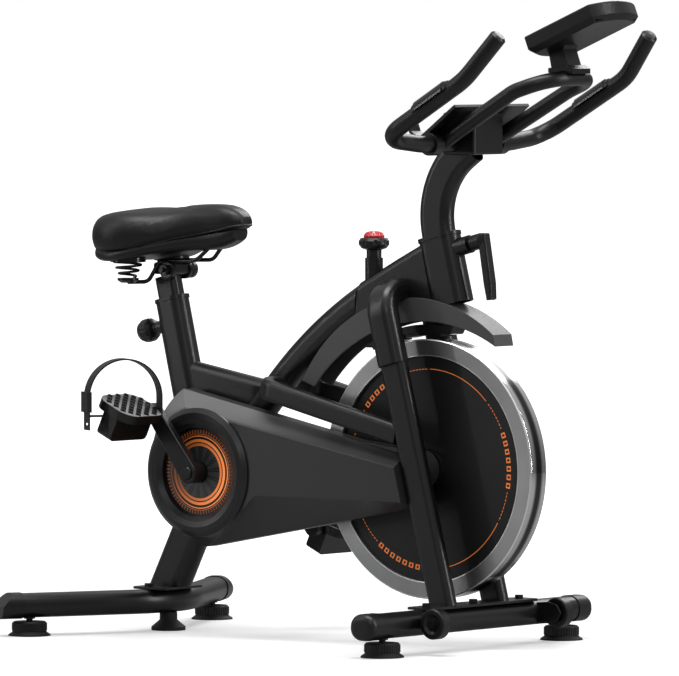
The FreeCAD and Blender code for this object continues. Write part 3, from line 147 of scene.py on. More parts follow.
class Recipe:
    """One procedural material while it is being made."""

    def __init__(self, name: str) -> None:
        """Start a material that holds one Principled shader."""
        self.material = bpy.data.materials.new(name)
        self.material.use_nodes = True
        self.tree = self.material.node_tree
        self.shader = self.tree.nodes["Principled BSDF"]

    def node(self, kind: str, settings: Optional[dict[str, Any]] = None,
             inputs: Optional[dict[str, Input]] = None) -> bpy.types.Node:
        """Add a node.

        Args:
            kind: the node's type name, without its ShaderNode prefix.
            settings: attributes, set first.
            inputs: value or link of each named socket.

        Returns:
            The new node.
        """
        node = self.tree.nodes.new("ShaderNode" + kind)
        for key, value in (settings or {}).items():
            setattr(node, key, value)
        for key, value in (inputs or {}).items():
            self.feed(node.inputs[key], value)
        return node

    def feed(self, socket: bpy.types.NodeSocket, value: Input) -> None:
        """Link or set one input socket."""
        if isinstance(value, Value):
            self.tree.links.new(value.socket, socket)
        elif isinstance(value, bpy.types.NodeSocket):
            self.tree.links.new(value, socket)
        elif isinstance(value, (int, float)):
            socket.default_value = value
        else:
            socket.default_value = (*value, 1.0) if len(socket.default_value) == 4 else tuple(value)

    def set(self, **sockets: Input) -> "Recipe":
        """Feed the shader's sockets; underscores in their names stand for spaces."""
        for key, value in sockets.items():
            self.feed(self.shader.inputs[key.replace("_", " ")], value)
        return self

    def place(self, centre: Sequence[float] = ORIGIN, turn: Triple = ORIGIN,
              stretch: Triple = (1.0, 1.0, 1.0)) -> bpy.types.NodeSocket:
        """Object coordinates measured from a centre, turned and stretched about it.

        Args:
            centre: point that becomes zero, in metres.
            turn: angles in radians.
            stretch: factor along each axis.

        Returns:
            The vector socket.
        """
        start = self.node("TexCoord").outputs["Object"]
        moved = self.node("VectorMath", {"operation": "SUBTRACT"})
        self.tree.links.new(start, moved.inputs[0])
        moved.inputs[1].default_value = tuple(centre)
        mapping = self.node("Mapping", {"vector_type": "POINT"}, {"Rotation": turn, "Scale": stretch})
        self.tree.links.new(moved.outputs[0], mapping.inputs["Vector"])
        return mapping.outputs["Vector"]

    def axes(self, vector: bpy.types.NodeSocket) -> tuple[Value, Value, Value]:
        """The three numbers of a vector."""
        split = self.node("SeparateXYZ", inputs={"Vector": vector})
        return tuple(Value(self.tree, socket) for socket in split.outputs)

    def noise(self, vector: bpy.types.NodeSocket, scale: float, detail: float = 3.0) -> Value:
        """Noise between 0 and 1."""
        made = self.node("TexNoise", inputs={"Vector": vector, "Scale": scale, "Detail": detail})
        return Value(self.tree, made.outputs["Fac"])

    def polar(self, centre: Sequence[float]) -> tuple[Value, Value, Value]:
        """Radius, angle from forwards towards up in degrees, and distance along Y, about a cross axis."""
        across, along, up = self.axes(self.place(centre))
        return across.hypot(up), up.maths("ARCTAN2", across) * (1 / RADIANS), along

    def cells(self, vector: bpy.types.NodeSocket, scale: float) -> Value:
        """Distance to the nearest cell edge, as in leather grain."""
        made = self.node("TexVoronoi", {"feature": "DISTANCE_TO_EDGE"}, {"Vector": vector, "Scale": scale})
        return Value(self.tree, made.outputs["Distance"])

    def blend(self, mask: Input, low: Input, high: Input) -> bpy.types.NodeSocket:
        """Colour that goes from low to high as the mask goes from 0 to 1."""
        made = self.node("Mix", {"data_type": "RGBA"})
        for socket, value in ((made.inputs[0], mask), (made.inputs[6], low), (made.inputs[7], high)):
            self.feed(socket, value)
        return made.outputs[2]

    def colour(self) -> bpy.types.NodeSocket:
        """What feeds the shader's base colour now."""
        return self.shader.inputs["Base Color"].links[0].from_socket

    def soften(self, radius: float) -> None:
        """Let edges catch light as if rounded by a radius in metres."""
        rounded = self.node("Bevel", {"samples": BEVEL_SAMPLES}, {"Radius": radius})
        self.tree.links.new(rounded.outputs[0], self.shader.inputs["Normal"])

    def relief(self, height: Value, depth: float, strength: float = 1.0) -> None:
        """Bump the surface by a height of 0 to 1 times a depth in metres."""
        bump = self.node("Bump", inputs={"Height": height, "Distance": depth, "Strength": strength})
        if self.shader.inputs["Normal"].is_linked:
            self.tree.links.new(self.shader.inputs["Normal"].links[0].from_socket, bump.inputs["Normal"])
        self.tree.links.new(bump.outputs["Normal"], self.shader.inputs["Normal"])


@dataclass(frozen=True)
class Coat:
    """Painted, moulded, plated or rubbery finish of one even colour with fine grain."""

    name: str
    colour: Triple
    roughness: float = 0.4
    metallic: float = 0.0
    specular: float = 0.5
    coat: float = 0.0
    grain: float = 900.0
    depth: float = 0.00002
    mottle: float = 0.12
    edge: float = 0.0

    def recipe(self) -> Recipe:
        """The finish as a material, open to additions."""
        made = Recipe(self.name)
        here = made.place()
        if self.edge:
            made.soften(self.edge)
        broad = made.noise(here, 9.0, 4.0)
        fine = made.noise(here, self.grain, 2.0)
        darker = tuple(channel * (1 - self.mottle) for channel in self.colour)
        lighter = tuple(min(1.0, channel * (1 + self.mottle)) for channel in self.colour)
        roughness = broad * 0.08 + fine * 0.06 + (self.roughness - 0.07)
        made.set(Base_Color=made.blend(broad, darker, lighter), Roughness=roughness, Metallic=self.metallic,
                 Specular_IOR_Level=self.specular, Coat_Weight=self.coat, Coat_Roughness=0.12)
        made.relief(fine, self.depth)
        return made

    def material(self) -> bpy.types.Material:
        """The finish as a finished material."""
        return self.recipe().material


class Finish(Enum):
    """Every plain finish on the bike."""

    FRAME = Coat("frame_satin_black", (0.0048, 0.0048, 0.0053), 0.32, grain=700.0, depth=0.000012)
    BAR = Coat("bar_satin_black", (0.0042, 0.0042, 0.0047), 0.40, specular=0.42)
    GUARD = Coat("guard_grey", (0.072, 0.072, 0.074), 0.46, specular=0.45, grain=1200.0, depth=0.00003,
                 edge=0.0012)
    COVER = Coat("cover_charcoal", (0.026, 0.026, 0.0275), 0.38, grain=1400.0, depth=0.00004, edge=0.0016)
    BEZEL = Coat("bezel_black", (0.009, 0.009, 0.0098), 0.30, grain=1500.0)
    PLASTIC = Coat("moulded_black", (0.006, 0.006, 0.0066), 0.36, specular=0.42, grain=1600.0, depth=0.00004,
                   edge=0.0006)
    GLOSS = Coat("gloss_black", (0.006, 0.006, 0.007), 0.14, coat=0.3, grain=300.0, depth=0.000004)
    RUBBER = Coat("foot_rubber", (0.012, 0.012, 0.012), 0.62, specular=0.3, grain=1100.0, depth=0.00008)
    STRAP = Coat("strap_rubber", (0.011, 0.011, 0.0115), 0.48, specular=0.4, grain=1300.0, depth=0.00005)
    STEEL = Coat("dark_zinc_steel", (0.10, 0.10, 0.105), 0.34, metallic=1.0, grain=600.0, depth=0.00001,
                 mottle=0.2)
    BLACK_BOLT = Coat("black_bolt", (0.02, 0.02, 0.021), 0.30, metallic=0.6, grain=600.0, depth=0.00001,
                      edge=0.0006)
    SPRING = Coat("spring_black", (0.010, 0.010, 0.011), 0.25, metallic=0.3, grain=500.0, depth=0.00001)
    SENSOR = Coat("sensor_plate", (0.62, 0.62, 0.64), 0.22, metallic=1.0, grain=800.0, depth=0.000008)
    RED = Coat("red_cap", (0.62, 0.012, 0.010), 0.18, coat=0.4, grain=400.0, depth=0.000004)
    CASE = Coat("display_case", (0.0038, 0.0038, 0.0042), 0.36, specular=0.35, grain=1800.0, depth=0.00003,
                edge=0.0006)
    VINYL = Coat("seat_vinyl", (0.0030, 0.0030, 0.0033), 0.40, specular=0.42, grain=500.0, depth=0.00003)
    PIPING = Coat("seat_piping", (0.014, 0.014, 0.015), 0.34)
    PRINT = Coat("white_print", (0.70, 0.70, 0.70), 0.5, specular=0.3, depth=0.000002)
    PANEL = Coat("display_glass", (0.004, 0.004, 0.0045), 0.12, coat=0.4, grain=300.0, depth=0.000002)
    DIGIT = Coat("display_digit", (0.82, 0.84, 0.86), 0.4, specular=0.3, depth=0.000002)


NODE_FINISH: dict[Finish, tuple[str, ...]] = {
    Finish.FRAME: ("front_stabiliser", "rear_stabiliser", "base_plates", "seat_tube", "rear_leg", "main_beam",
                   "cross_tube", "bottom_bracket_shell", "head_gusset", "head_tube", "fork_legs",
                   "side_struts", "fork_crown", "handlebar_post", "seat_post", "seat_clamp", "brake_mount"),
    Finish.BAR: ("handlebar", "elbow_loop"),
    Finish.GUARD: ("flywheel_guard",),
    Finish.COVER: ("belt_cover_inner",),
    Finish.PLASTIC: ("stabiliser_end_caps", "transport_wheel_right", "transport_wheel_left", "saddle_base",
                     "seat_pin_knob", "resistance_knob", "lock_lever", "tube_bushings", "drive_pulley",
                     "tablet_tray"),
    Finish.RUBBER: ("centre_foot", "drive_belt", "levelling_foot_front_right", "levelling_foot_front_left",
                    "levelling_foot_rear_right", "levelling_foot_rear_left"),
    Finish.STEEL: ("flywheel_axle", "bearings", "brake_rod"),
    Finish.BLACK_BOLT: ("base_fasteners", "crank_arms", "crank_axle", "brake_arm"),
    Finish.SPRING: ("saddle_springs", "saddle_rails"),
    Finish.CASE: ("console_case",),
    Finish.GLOSS: ("console_button",),
    Finish.PANEL: ("console_screen",),
}


def joint_point(name: str) -> Vector:
    """Where a joint's axis passes, in metres."""
    return next(Vector(joint["pos_m"]) for joint in frame["joints"] if joint["name"] == name)


def paint(node: str, material: bpy.types.Material) -> None:
    """Give a carried-over node one material."""
    slots = frame["nodes"][node].material_slots
    for slot in slots:
        slot.material = material


def lay(name: str, mesh: bpy.types.Mesh, material: bpy.types.Material, body: str) -> bpy.types.Object:
    """Show a mesh that is already in place, riding on a CAD body.

    Args:
        name: the piece's name.
        mesh: its mesh, in the row frame.
        material: its only material.
        body: the CAD body that carries it.

    Returns:
        The new object.
    """
    mesh.materials.append(material)
    made = bpy.data.objects.new(name, mesh)
    bpy.context.scene.collection.objects.link(made)
    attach(made, body)
    return made


def smooth(mesh: bpy.types.Mesh) -> None:
    """Shade every face smoothly."""
    for face in mesh.polygons:
        face.use_smooth = True


def from_bmesh(name: str, shape: bmesh.types.BMesh) -> bpy.types.Mesh:
    """Turn a bmesh into a mesh with its faces outwards, and free it."""
    bmesh.ops.recalc_face_normals(shape, faces=shape.faces)
    mesh = bpy.data.meshes.new(name)
    shape.to_mesh(mesh)
    shape.free()
    return mesh


def add_prism(shape: bmesh.types.BMesh, outline: Sequence[Vector], top: Sequence[Vector]) -> None:
    """Add a closed solid between two outlines of as many points each."""
    low = [shape.verts.new(point) for point in outline]
    high = [shape.verts.new(point) for point in top]
    shape.faces.new(low[::-1])
    shape.faces.new(high)
    for index, corner in enumerate(low):
        after = (index + 1) % len(low)
        shape.faces.new((corner, low[after], high[after], high[index]))


def add_tube(shape: bmesh.types.BMesh, path: Sequence[Vector], radius: float, sides: int = 8) -> None:
    """Add a closed loop of round cord along a closed path."""
    rings = []
    for index, point in enumerate(path):
        ahead = (path[(index + 1) % len(path)] - path[index - 1]).normalized()
        side = ahead.cross(Vector((0, 0, 1))).normalized()
        up = side.cross(ahead)
        rings.append([shape.verts.new(point + (side * math.cos(turn) + up * math.sin(turn)) * radius)
                      for turn in (2 * math.pi * step / sides for step in range(sides))])
    for index, ring in enumerate(rings):
        after = rings[(index + 1) % len(rings)]
        for step in range(sides):
            beyond = (step + 1) % sides
            shape.faces.new((ring[step], ring[beyond], after[beyond], after[step]))


@dataclass
class Flywheel:
    """Polished steel rim with painted reflections and a painted sheen, and dark disc with a painted sheen and
    thin orange marks that have a faint painted glow, drawn about the axle.
    """

    rim_inner: float = 0.187
    rim_outer: float = 0.215
    mark_radius: float = 0.165
    mark_half: float = 0.0006
    block_half: float = 0.0042
    periods: int = 3
    first_block: float = 7.0
    block_angle: float = 17.0
    dash_angle: float = 36.0
    mark_space: float = 1.5
    edge_round: float = 0.0015

    def build(self) -> None:
        """Paint both nodes."""
        centre = joint_point("flywheel_spin")
        paint("flywheel_rim", self.rim(centre))
        paint("flywheel_disc", self.disc(centre))

    def rim(self, centre: Vector) -> bpy.types.Material:
        """Brushed side faces with a painted sheen and painted highlights at their edges, and a mirror edge
        with painted reflection bands along it.
        """
        made = Recipe("rim_polished_steel")
        radius, angle, along = made.polar(centre)
        made.soften(self.edge_round)
        edge = radius > self.rim_outer - 0.0006
        streaks = made.noise(made.place(centre), 34.0, 2.0)
        # painted reflection: the mirror edge is dark along its middle and pale towards both sides
        painted_reflection_mask = along.maths("ABSOLUTE").ramp(0.004, 0.013)
        # painted sheen: the side faces lighter and darker in two broad lobes round the wheel
        rim_painted_lobes = (angle * RADIANS + 0.9).wave(2.0)
        # painted highlights: thin pale rings at the inner and outer edges of the side faces
        painted_edge_highlights = (radius < self.rim_inner + 0.0016) + (radius > self.rim_outer - 0.0026)
        # side faces: painted sheen mixed with brushed streaks
        face = made.blend(rim_painted_lobes * 0.6 + streaks * 0.25, (0.30, 0.30, 0.305), (0.58, 0.58, 0.585))
        # painted edge highlights laid over the side faces
        face = made.blend(painted_edge_highlights, face, (0.85, 0.85, 0.86))
        # painted reflection colours of the mirror edge, dark in the middle band and pale at the sides
        painted_reflection_colour = made.blend(painted_reflection_mask, (0.045, 0.043, 0.042), (0.62, 0.62, 0.63))
        made.set(Base_Color=made.blend(edge, face, painted_reflection_colour), Metallic=1.0,
                 Roughness=(edge * -0.2) + streaks * 0.08 + 0.30)
        made.relief(radius.wave(9000.0), 0.000004, 0.5)
        return made.material

    def disc(self, centre: Vector) -> bpy.types.Material:
        """Satin charcoal with a painted sheen in two broad lobes round it, and one thin orange ring in three
        like stretches: blocks, dashes, line, which has a faint painted glow.
        """
        made = Recipe("disc_satin_charcoal")
        radius, angle, _ = made.polar(centre)
        step = 360.0 / self.periods
        phase = (angle - self.first_block + step * 3.5).maths("MODULO", step) - step / 2
        away = phase.maths("ABSOLUTE")
        off = (radius - self.mark_radius).maths("ABSOLUTE")
        line = off < self.mark_half
        place = ((phase + self.block_angle) * (7 / (2 * self.block_angle))).maths("FRACT")
        hollow = place.between(0.34, 0.62) * (off < self.block_half - 0.0016)
        blocks = (away < self.block_angle) * (off < self.block_half) * place.between(0.16, 0.80)
        blocks = blocks * (1.0 - hollow)
        dashes = away.between(self.block_angle + self.mark_space, self.dash_angle) * line
        dashes = dashes * ((angle * 0.45).maths("FRACT") > 0.35)
        solid = (away > self.dash_angle + self.mark_space) * line
        marks = blocks + dashes + solid
        gap = radius > self.rim_inner - 0.0022
        # painted sheen: the disc lighter and darker in two broad lobes round the axle
        painted_sheen = (angle * RADIANS + 0.4).wave(2.0)
        grain = made.noise(made.place(centre), 900.0, 2.0)
        base = made.blend(painted_sheen, (0.003, 0.003, 0.0032), (0.010, 0.010, 0.0105))
        base = made.blend(gap, base, (0.002, 0.002, 0.002))
        # painted glow: the orange marks emit a little light, though they are print and no lamp
        made.set(Base_Color=made.blend(marks, base, (0.85, 0.24, 0.05)), Metallic=0.25,
                 Roughness=grain * 0.08 + 0.40, Emission_Strength=0.30,
                 Emission_Color=made.blend(marks, (0, 0, 0), (0.9, 0.20, 0.03)))
        made.relief(grain, 0.00002)
        return made.material


@dataclass
class BeltCover:
    """Charcoal shell with a painted highlight on its upper slope, fading towards the front, and a painted
    highlight line along its top edge.
    """

    slope: tuple[float, float] = (-0.0945, -0.088)

    def build(self) -> None:
        """Paint the outer shell."""
        made = Finish.COVER.value.recipe()
        across, along, up = made.axes(made.place(joint_point("crank_spin")))
        height = up + across * 0.05
        # painted highlight line: a thin pale band along the top edge of the outer face
        edge = (height - 0.098).maths("ABSOLUTE") < 0.0012
        # painted highlight on the upper slope
        painted_slope_highlight = along.ramp(*self.slope) * height.ramp(0.06, 0.11)
        # painted shade: the slope's painted highlight fades towards the front
        shade = 1.0 - across.ramp(-0.05, 0.40) * 0.55
        # slope colour lightened by the painted highlight
        pale = made.blend(painted_slope_highlight * shade, made.colour(), (0.165, 0.165, 0.168))
        line = edge * (along < -0.093) * 0.6
        made.set(Base_Color=made.blend(line, pale, (0.20, 0.20, 0.205)))
        paint("belt_cover_outer", made.material)


@dataclass
class PulseSensors:
    """Hand sensors: bright metal on the face towards the rider, dark at the back."""

    facing: Triple = (-0.495, 0.0, 0.868)

    def build(self) -> None:
        """Paint both plates."""
        made = Finish.SENSOR.value.recipe()
        normal = made.node("TexCoord").outputs["Normal"]
        turned = made.node("VectorMath", {"operation": "DOT_PRODUCT"})
        made.tree.links.new(normal, turned.inputs[0])
        turned.inputs[1].default_value = self.facing
        front = Value(made.tree, turned.outputs["Value"]).ramp(0.80, 0.95)
        made.set(Base_Color=made.blend(front, (0.006, 0.006, 0.006), (0.62, 0.62, 0.64)), Metallic=front)
        paint("pulse_sensors", made.material)


@dataclass
class CrankDisc:
    """Round inset of the belt cover: dark fan spokes inside orange rings, with a painted highlight brightest
    towards the front and a painted glow.
    """

    disc_radius: float = 0.0752
    spoke_count: int = 14
    spoke_inner: float = 0.018
    spoke_outer: float = 0.043
    inner_orange_ring: tuple[float, float] = (0.0440, 0.0485)
    outer_orange_ring: tuple[float, float] = (0.0505, 0.0555)
    ring_radius: float = 0.0605
    tick_outer: float = 0.071
    tick_count: int = 72

    def build(self) -> None:
        """Paint the bezel node, which holds the disc too."""
        made = Finish.BEZEL.value.recipe()
        radius, angle, _ = made.polar(joint_point("crank_spin"))
        inside = radius < self.disc_radius
        turn = (angle / 360 + 1).maths("FRACT")
        spoke = (turn * self.spoke_count).maths("FRACT")
        sector = radius.between(self.spoke_inner, self.spoke_outer)
        fan = sector * (spoke.between(0.12, 0.24) + spoke.between(0.38, 0.5))
        base = made.blend(sector, (0.006, 0.006, 0.006), (0.050, 0.050, 0.052))
        base = made.blend(fan, base, (0.004, 0.004, 0.004))
        rings = radius.between(*self.inner_orange_ring) * 0.75 + radius.between(*self.outer_orange_ring)
        # painted highlight: the orange marks brighter towards the front and dimmer towards the back
        painted_highlight_by_angle = ((angle + 20) * RADIANS).maths("COSINE") * 0.42 + 0.5
        outer = (radius - self.ring_radius).maths("ABSOLUTE") < 0.0008
        second = (radius - self.ring_radius - 0.0034).maths("ABSOLUTE") < 0.0004
        tick = (turn * self.tick_count).maths("FRACT")
        ticks = radius.between(self.ring_radius + 0.0048, self.tick_outer) * tick.between(0.35, 0.62)
        # orange marks times the painted highlight, plus faint ticks
        marks_with_painted_highlight = (rings * (tick * 0.35 + 0.65) + outer + second * 0.6) * painted_highlight_by_angle + ticks * 0.16
        # the orange print's colour follows the painted highlight too
        base = made.blend(marks_with_painted_highlight.maths("MINIMUM", 1.0), base, (0.80, 0.24, 0.06))
        # painted glow: the marks emit light, though they are print and no lamp
        painted_emission_mask = (marks_with_painted_highlight * inside).maths("MINIMUM", 1.0)
        made.set(Base_Color=made.blend(inside, made.colour(), base), Emission_Strength=0.95,
                 Emission_Color=made.blend(painted_emission_mask, (0, 0, 0), (1.0, 0.26, 0.055)))
        paint("cover_bezel", made.material)


@dataclass
class KnobCap:
    """Red cap of the resistance knob, with radial flutes."""

    flutes: int = 10

    def build(self) -> None:
        """Paint the cap."""
        made = Finish.RED.value.recipe()
        across, along, _ = made.axes(made.place(joint_point("resistance_turn")))
        turn = along.maths("ARCTAN2", across)
        made.relief(turn.wave(self.flutes) * across.hypot(along).ramp(0.003, 0.010), 0.0014)
        paint("knob_cap", made.material)


@dataclass
class SaddlePad:
    """Padded vinyl saddle: the cushion swollen by simulation, with sewn piping."""

    voxel: float = 0.005
    shrink: float = 0.003
    cap: float = 0.008
    pressure: float = 8.0
    frames: int = 20
    piping_radius: float = 0.0016
    piping_drop: float = 0.005
    tail_inset: float = 0.105
    nose_inset: float = 0.035
    tail_reach: float = 0.10
    nose_reach: float = 0.035
    side_samples: int = 28
    nose_samples: int = 14
    tail_samples: int = 22
    ray_start: float = 0.3

    def build(self) -> None:
        """Replace the plain solid."""
        source = frame["nodes"]["saddle_cushion"]
        mesh = source.data.copy()
        mesh.transform(source.matrix_world)
        mesh.materials.clear()
        pad = lay("saddle_pad", mesh, self.vinyl(), "saddle")
        self.apply(pad, "REMESH", {"mode": "VOXEL", "voxel_size": self.voxel})
        self.apply(pad, "SMOOTH", {"factor": 0.5, "iterations": 2})
        self.swell(pad)
        self.apply(pad, "SUBSURF", {"levels": 1, "render_levels": 1})
        smooth(pad.data)
        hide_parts("saddle_cushion")
        self.piping(pad)

    def apply(self, pad: bpy.types.Object, kind: str, settings: dict[str, Any]) -> None:
        """Add one modifier and keep its result as the mesh."""
        modifier = pad.modifiers.new(kind.lower(), kind)
        for key, value in settings.items():
            setattr(modifier, key, value)
        self.keep(pad)

    def keep(self, pad: bpy.types.Object) -> None:
        """Make the modified shape the mesh and drop the modifiers."""
        view = bpy.context.evaluated_depsgraph_get()
        mesh = bpy.data.meshes.new_from_object(pad.evaluated_get(view))
        pad.modifiers.clear()
        pad.data = mesh

    def swell(self, pad: bpy.types.Object) -> None:
        """Shrink the shape a little, then inflate it as cloth round its foam."""
        mesh = pad.data
        start = [vertex.co - vertex.normal * self.shrink * max(0.0, min(1.0, vertex.normal.z + 0.6))
                 for vertex in mesh.vertices]
        for vertex, place in zip(mesh.vertices, start):
            vertex.co = place
        base = pad.vertex_groups.new(name="shell")
        low = {vertex.index for vertex in mesh.vertices if vertex.normal.z < -0.55}
        base.add(list(low), 1.0, "REPLACE")
        cloth = pad.modifiers.new("cloth", "CLOTH")
        cloth.settings.vertex_group_mass = "shell"
        cloth.settings.use_pressure = True
        cloth.settings.uniform_pressure_force = self.pressure
        cloth.settings.tension_stiffness = 25.0
        cloth.settings.compression_stiffness = 25.0
        cloth.settings.effector_weights.gravity = 0.0
        cloth.collision_settings.use_collision = False
        cloth.point_cache.frame_start = 1
        cloth.point_cache.frame_end = self.frames
        scene = bpy.context.scene
        for step in range(1, self.frames + 1):
            scene.frame_set(step)
        self.keep(pad)
        scene.frame_set(1)
        for vertex, place in zip(pad.data.vertices, start):
            moved = vertex.co - place
            if moved.length > self.cap:
                vertex.co = place + moved.normalized() * self.cap

    def vinyl(self) -> bpy.types.Material:
        """Glossy black vinyl with a fine leather grain and slow folds near the nose."""
        made = Finish.VINYL.value.recipe()
        cells = made.cells(made.place(), 620.0)
        made.relief(cells.ramp(0.0, 0.12), 0.00006, 0.5)
        made.relief(made.noise(made.place(stretch=(1.0, 0.5, 1.0)), 26.0, 1.0), 0.0003, 0.3)
        return made.material

    def piping(self, pad: bpy.types.Object) -> None:
        """Sew a cord round the pad, where it meets the shell."""
        tree = BVHTree.FromObject(pad, bpy.context.evaluated_depsgraph_get())
        low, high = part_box("saddle_cushion")
        tail, nose = low[0] + self.tail_inset, high[0] - self.nose_inset
        sides = range(self.side_samples)
        path = []
        rays = [(tail + (nose - tail) * step / self.side_samples, -90.0) for step in sides]
        rays += [(nose, -90.0 + 180.0 * step / self.nose_samples) for step in range(self.nose_samples)]
        rays += [(nose + (tail - nose) * step / self.side_samples, 90.0) for step in sides]
        rays += [(tail, 90.0 + 180.0 * step / self.tail_samples) for step in range(self.tail_samples)]
        for station, degrees in rays:
            out = Vector((math.cos(math.radians(degrees)), math.sin(math.radians(degrees)), 0.0))
            reach = station + out.x * (self.nose_reach if out.x > 0 else self.tail_reach)
            height = self.rim_height((reach - low[0]) / (high[0] - low[0]))
            hit = tree.ray_cast(Vector((station, 0.0, height)) + out * self.ray_start, -out)[0]
            if hit is not None:
                path.append(hit)
        cord = bmesh.new()
        add_tube(cord, path, self.piping_radius)
        piece = lay("saddle_piping", from_bmesh("saddle_piping", cord), Finish.PIPING.value.material(),
                    "saddle")
        smooth(piece.data)

    def rim_height(self, share: float) -> float:
        """Height of the piping a given share of the way from tail to nose."""
        rows = ((0.0, 0.668), (0.07, 0.652), (0.22, 0.647), (0.40, 0.656), (0.57, 0.671), (0.71, 0.679),
                (0.84, 0.686), (0.94, 0.692), (1.0, 0.695))
        for (first, low), (last, high) in zip(rows, rows[1:]):
            if share <= last:
                return low + (high - low) * max(0.0, share - first) / (last - first) - self.piping_drop
        return rows[-1][1] - self.piping_drop


@dataclass
class Tread:
    """Diamond studs on the top of both pedals."""

    pitch_angle: float = 25.0
    top: float = 0.014
    half_length: float = 0.040
    half_width: float = 0.051
    corner: float = 0.026
    spacing: float = 0.0135
    foot: float = 0.0066
    crest: float = 0.0048
    height: float = 0.0030
    margin: float = 0.004
    sunk: float = 0.0004

    def build(self) -> None:
        """Stud both decks, and paint the top face of each deck pale grey as a painted highlight."""
        material = Finish.PLASTIC.value.material()
        angle = math.radians(self.pitch_angle)
        for side in ("right", "left"):
            deck = Finish.PLASTIC.value.recipe()
            across, _, up = deck.axes(deck.place(joint_point(f"pedal_{side}_spin")))
            # painted highlight: the deck's top face pale grey between the black studs, standing in for bright
            # glints
            top = across * math.sin(angle) + up * math.cos(angle) > self.top - 0.0008
            deck.set(Base_Color=deck.blend(top, deck.colour(), (0.30, 0.30, 0.31)))
            paint(f"pedal_body_{side}", deck.material)
            lay(f"pedal_tread_{side}", self.studs(f"pedal_tread_{side}", joint_point(f"pedal_{side}_spin")),
                material, f"pedal_{side}")

    def on_deck(self, x: float, y: float) -> bool:
        """Whether a stud lies inside the deck's rounded outline."""
        across = max(0.0, abs(x) - (self.half_length - self.corner))
        along = max(0.0, abs(y) - (self.half_width - self.corner))
        return math.hypot(across, along) < self.corner - self.margin

    def studs(self, name: str, axis: Vector) -> bpy.types.Mesh:
        """All studs of one pedal as a mesh."""
        shape = bmesh.new()
        turn = Matrix.Translation(axis) @ Matrix.Rotation(math.radians(self.pitch_angle), 4, "Y")
        corners = [math.pi / 2 * quarter for quarter in range(4)]
        levels = ((self.foot, self.top - self.sunk), (self.crest, self.top + self.height))
        steps = range(-14, 15)
        for row in steps:
            for column in steps:
                if (row + column) % 2:
                    continue
                x, y = row * self.spacing / 1.6, column * self.spacing / 1.3
                if self.on_deck(x, y):
                    outlines = [[turn @ Vector((x + math.cos(corner) * size, y + math.sin(corner) * size, z))
                                 for corner in corners] for size, z in levels]
                    add_prism(shape, *outlines)
        return from_bmesh(name, shape)


@dataclass
class ToeStrap:
    """Ribbed rubber of the toe straps."""

    turn: float = 32.0
    shift: tuple[float, float] = (0.006, 0.0085)
    rib: float = 0.0072

    def build(self) -> None:
        """Paint both straps, mirrored on the left."""
        for side, sign in (("right", 1.0), ("left", -1.0)):
            made = Finish.STRAP.value.recipe()
            across, along, _ = made.axes(made.place(joint_point(f"pedal_{side}_spin")))
            angle = math.radians(self.turn)
            width = (across + self.shift[0]) * math.cos(angle)
            width = width - (along * sign + self.shift[1]) * math.sin(angle)
            groove = (width.maths("ABSOLUTE") - self.rib).maths("ABSOLUTE")
            made.relief(groove.ramp(0.0012, 0.0026), 0.0012)
            paint(f"pedal_strap_{side}", made.material)


@dataclass
class FootKnurl:
    """Grip teeth round the disc of each levelling foot."""

    teeth: int = 40
    inner: float = 0.0287
    outer: float = 0.0298
    low: float = 0.0088
    high: float = 0.0212

    def build(self) -> None:
        """Add the teeth to all four feet."""
        material = Finish.PLASTIC.value.material()
        for corner in ("front_right", "front_left", "rear_right", "rear_left"):
            shape = bmesh.new()
            centre = joint_point(f"foot_{corner}_turn")
            outlines = []
            for height in (self.low, self.high):
                outline = []
                for step in range(self.teeth * 4):
                    angle = 2 * math.pi * step / (self.teeth * 4)
                    radius = self.outer if step % 4 in (1, 2) else self.inner
                    x, y = radius * math.cos(angle), radius * math.sin(angle)
                    outline.append(Vector((centre.x + x, centre.y + y, height)))
                outlines.append(outline)
            add_prism(shape, *outlines)
            lay(f"foot_knurl_{corner}", from_bmesh(f"foot_knurl_{corner}", shape), material, f"foot_{corner}")


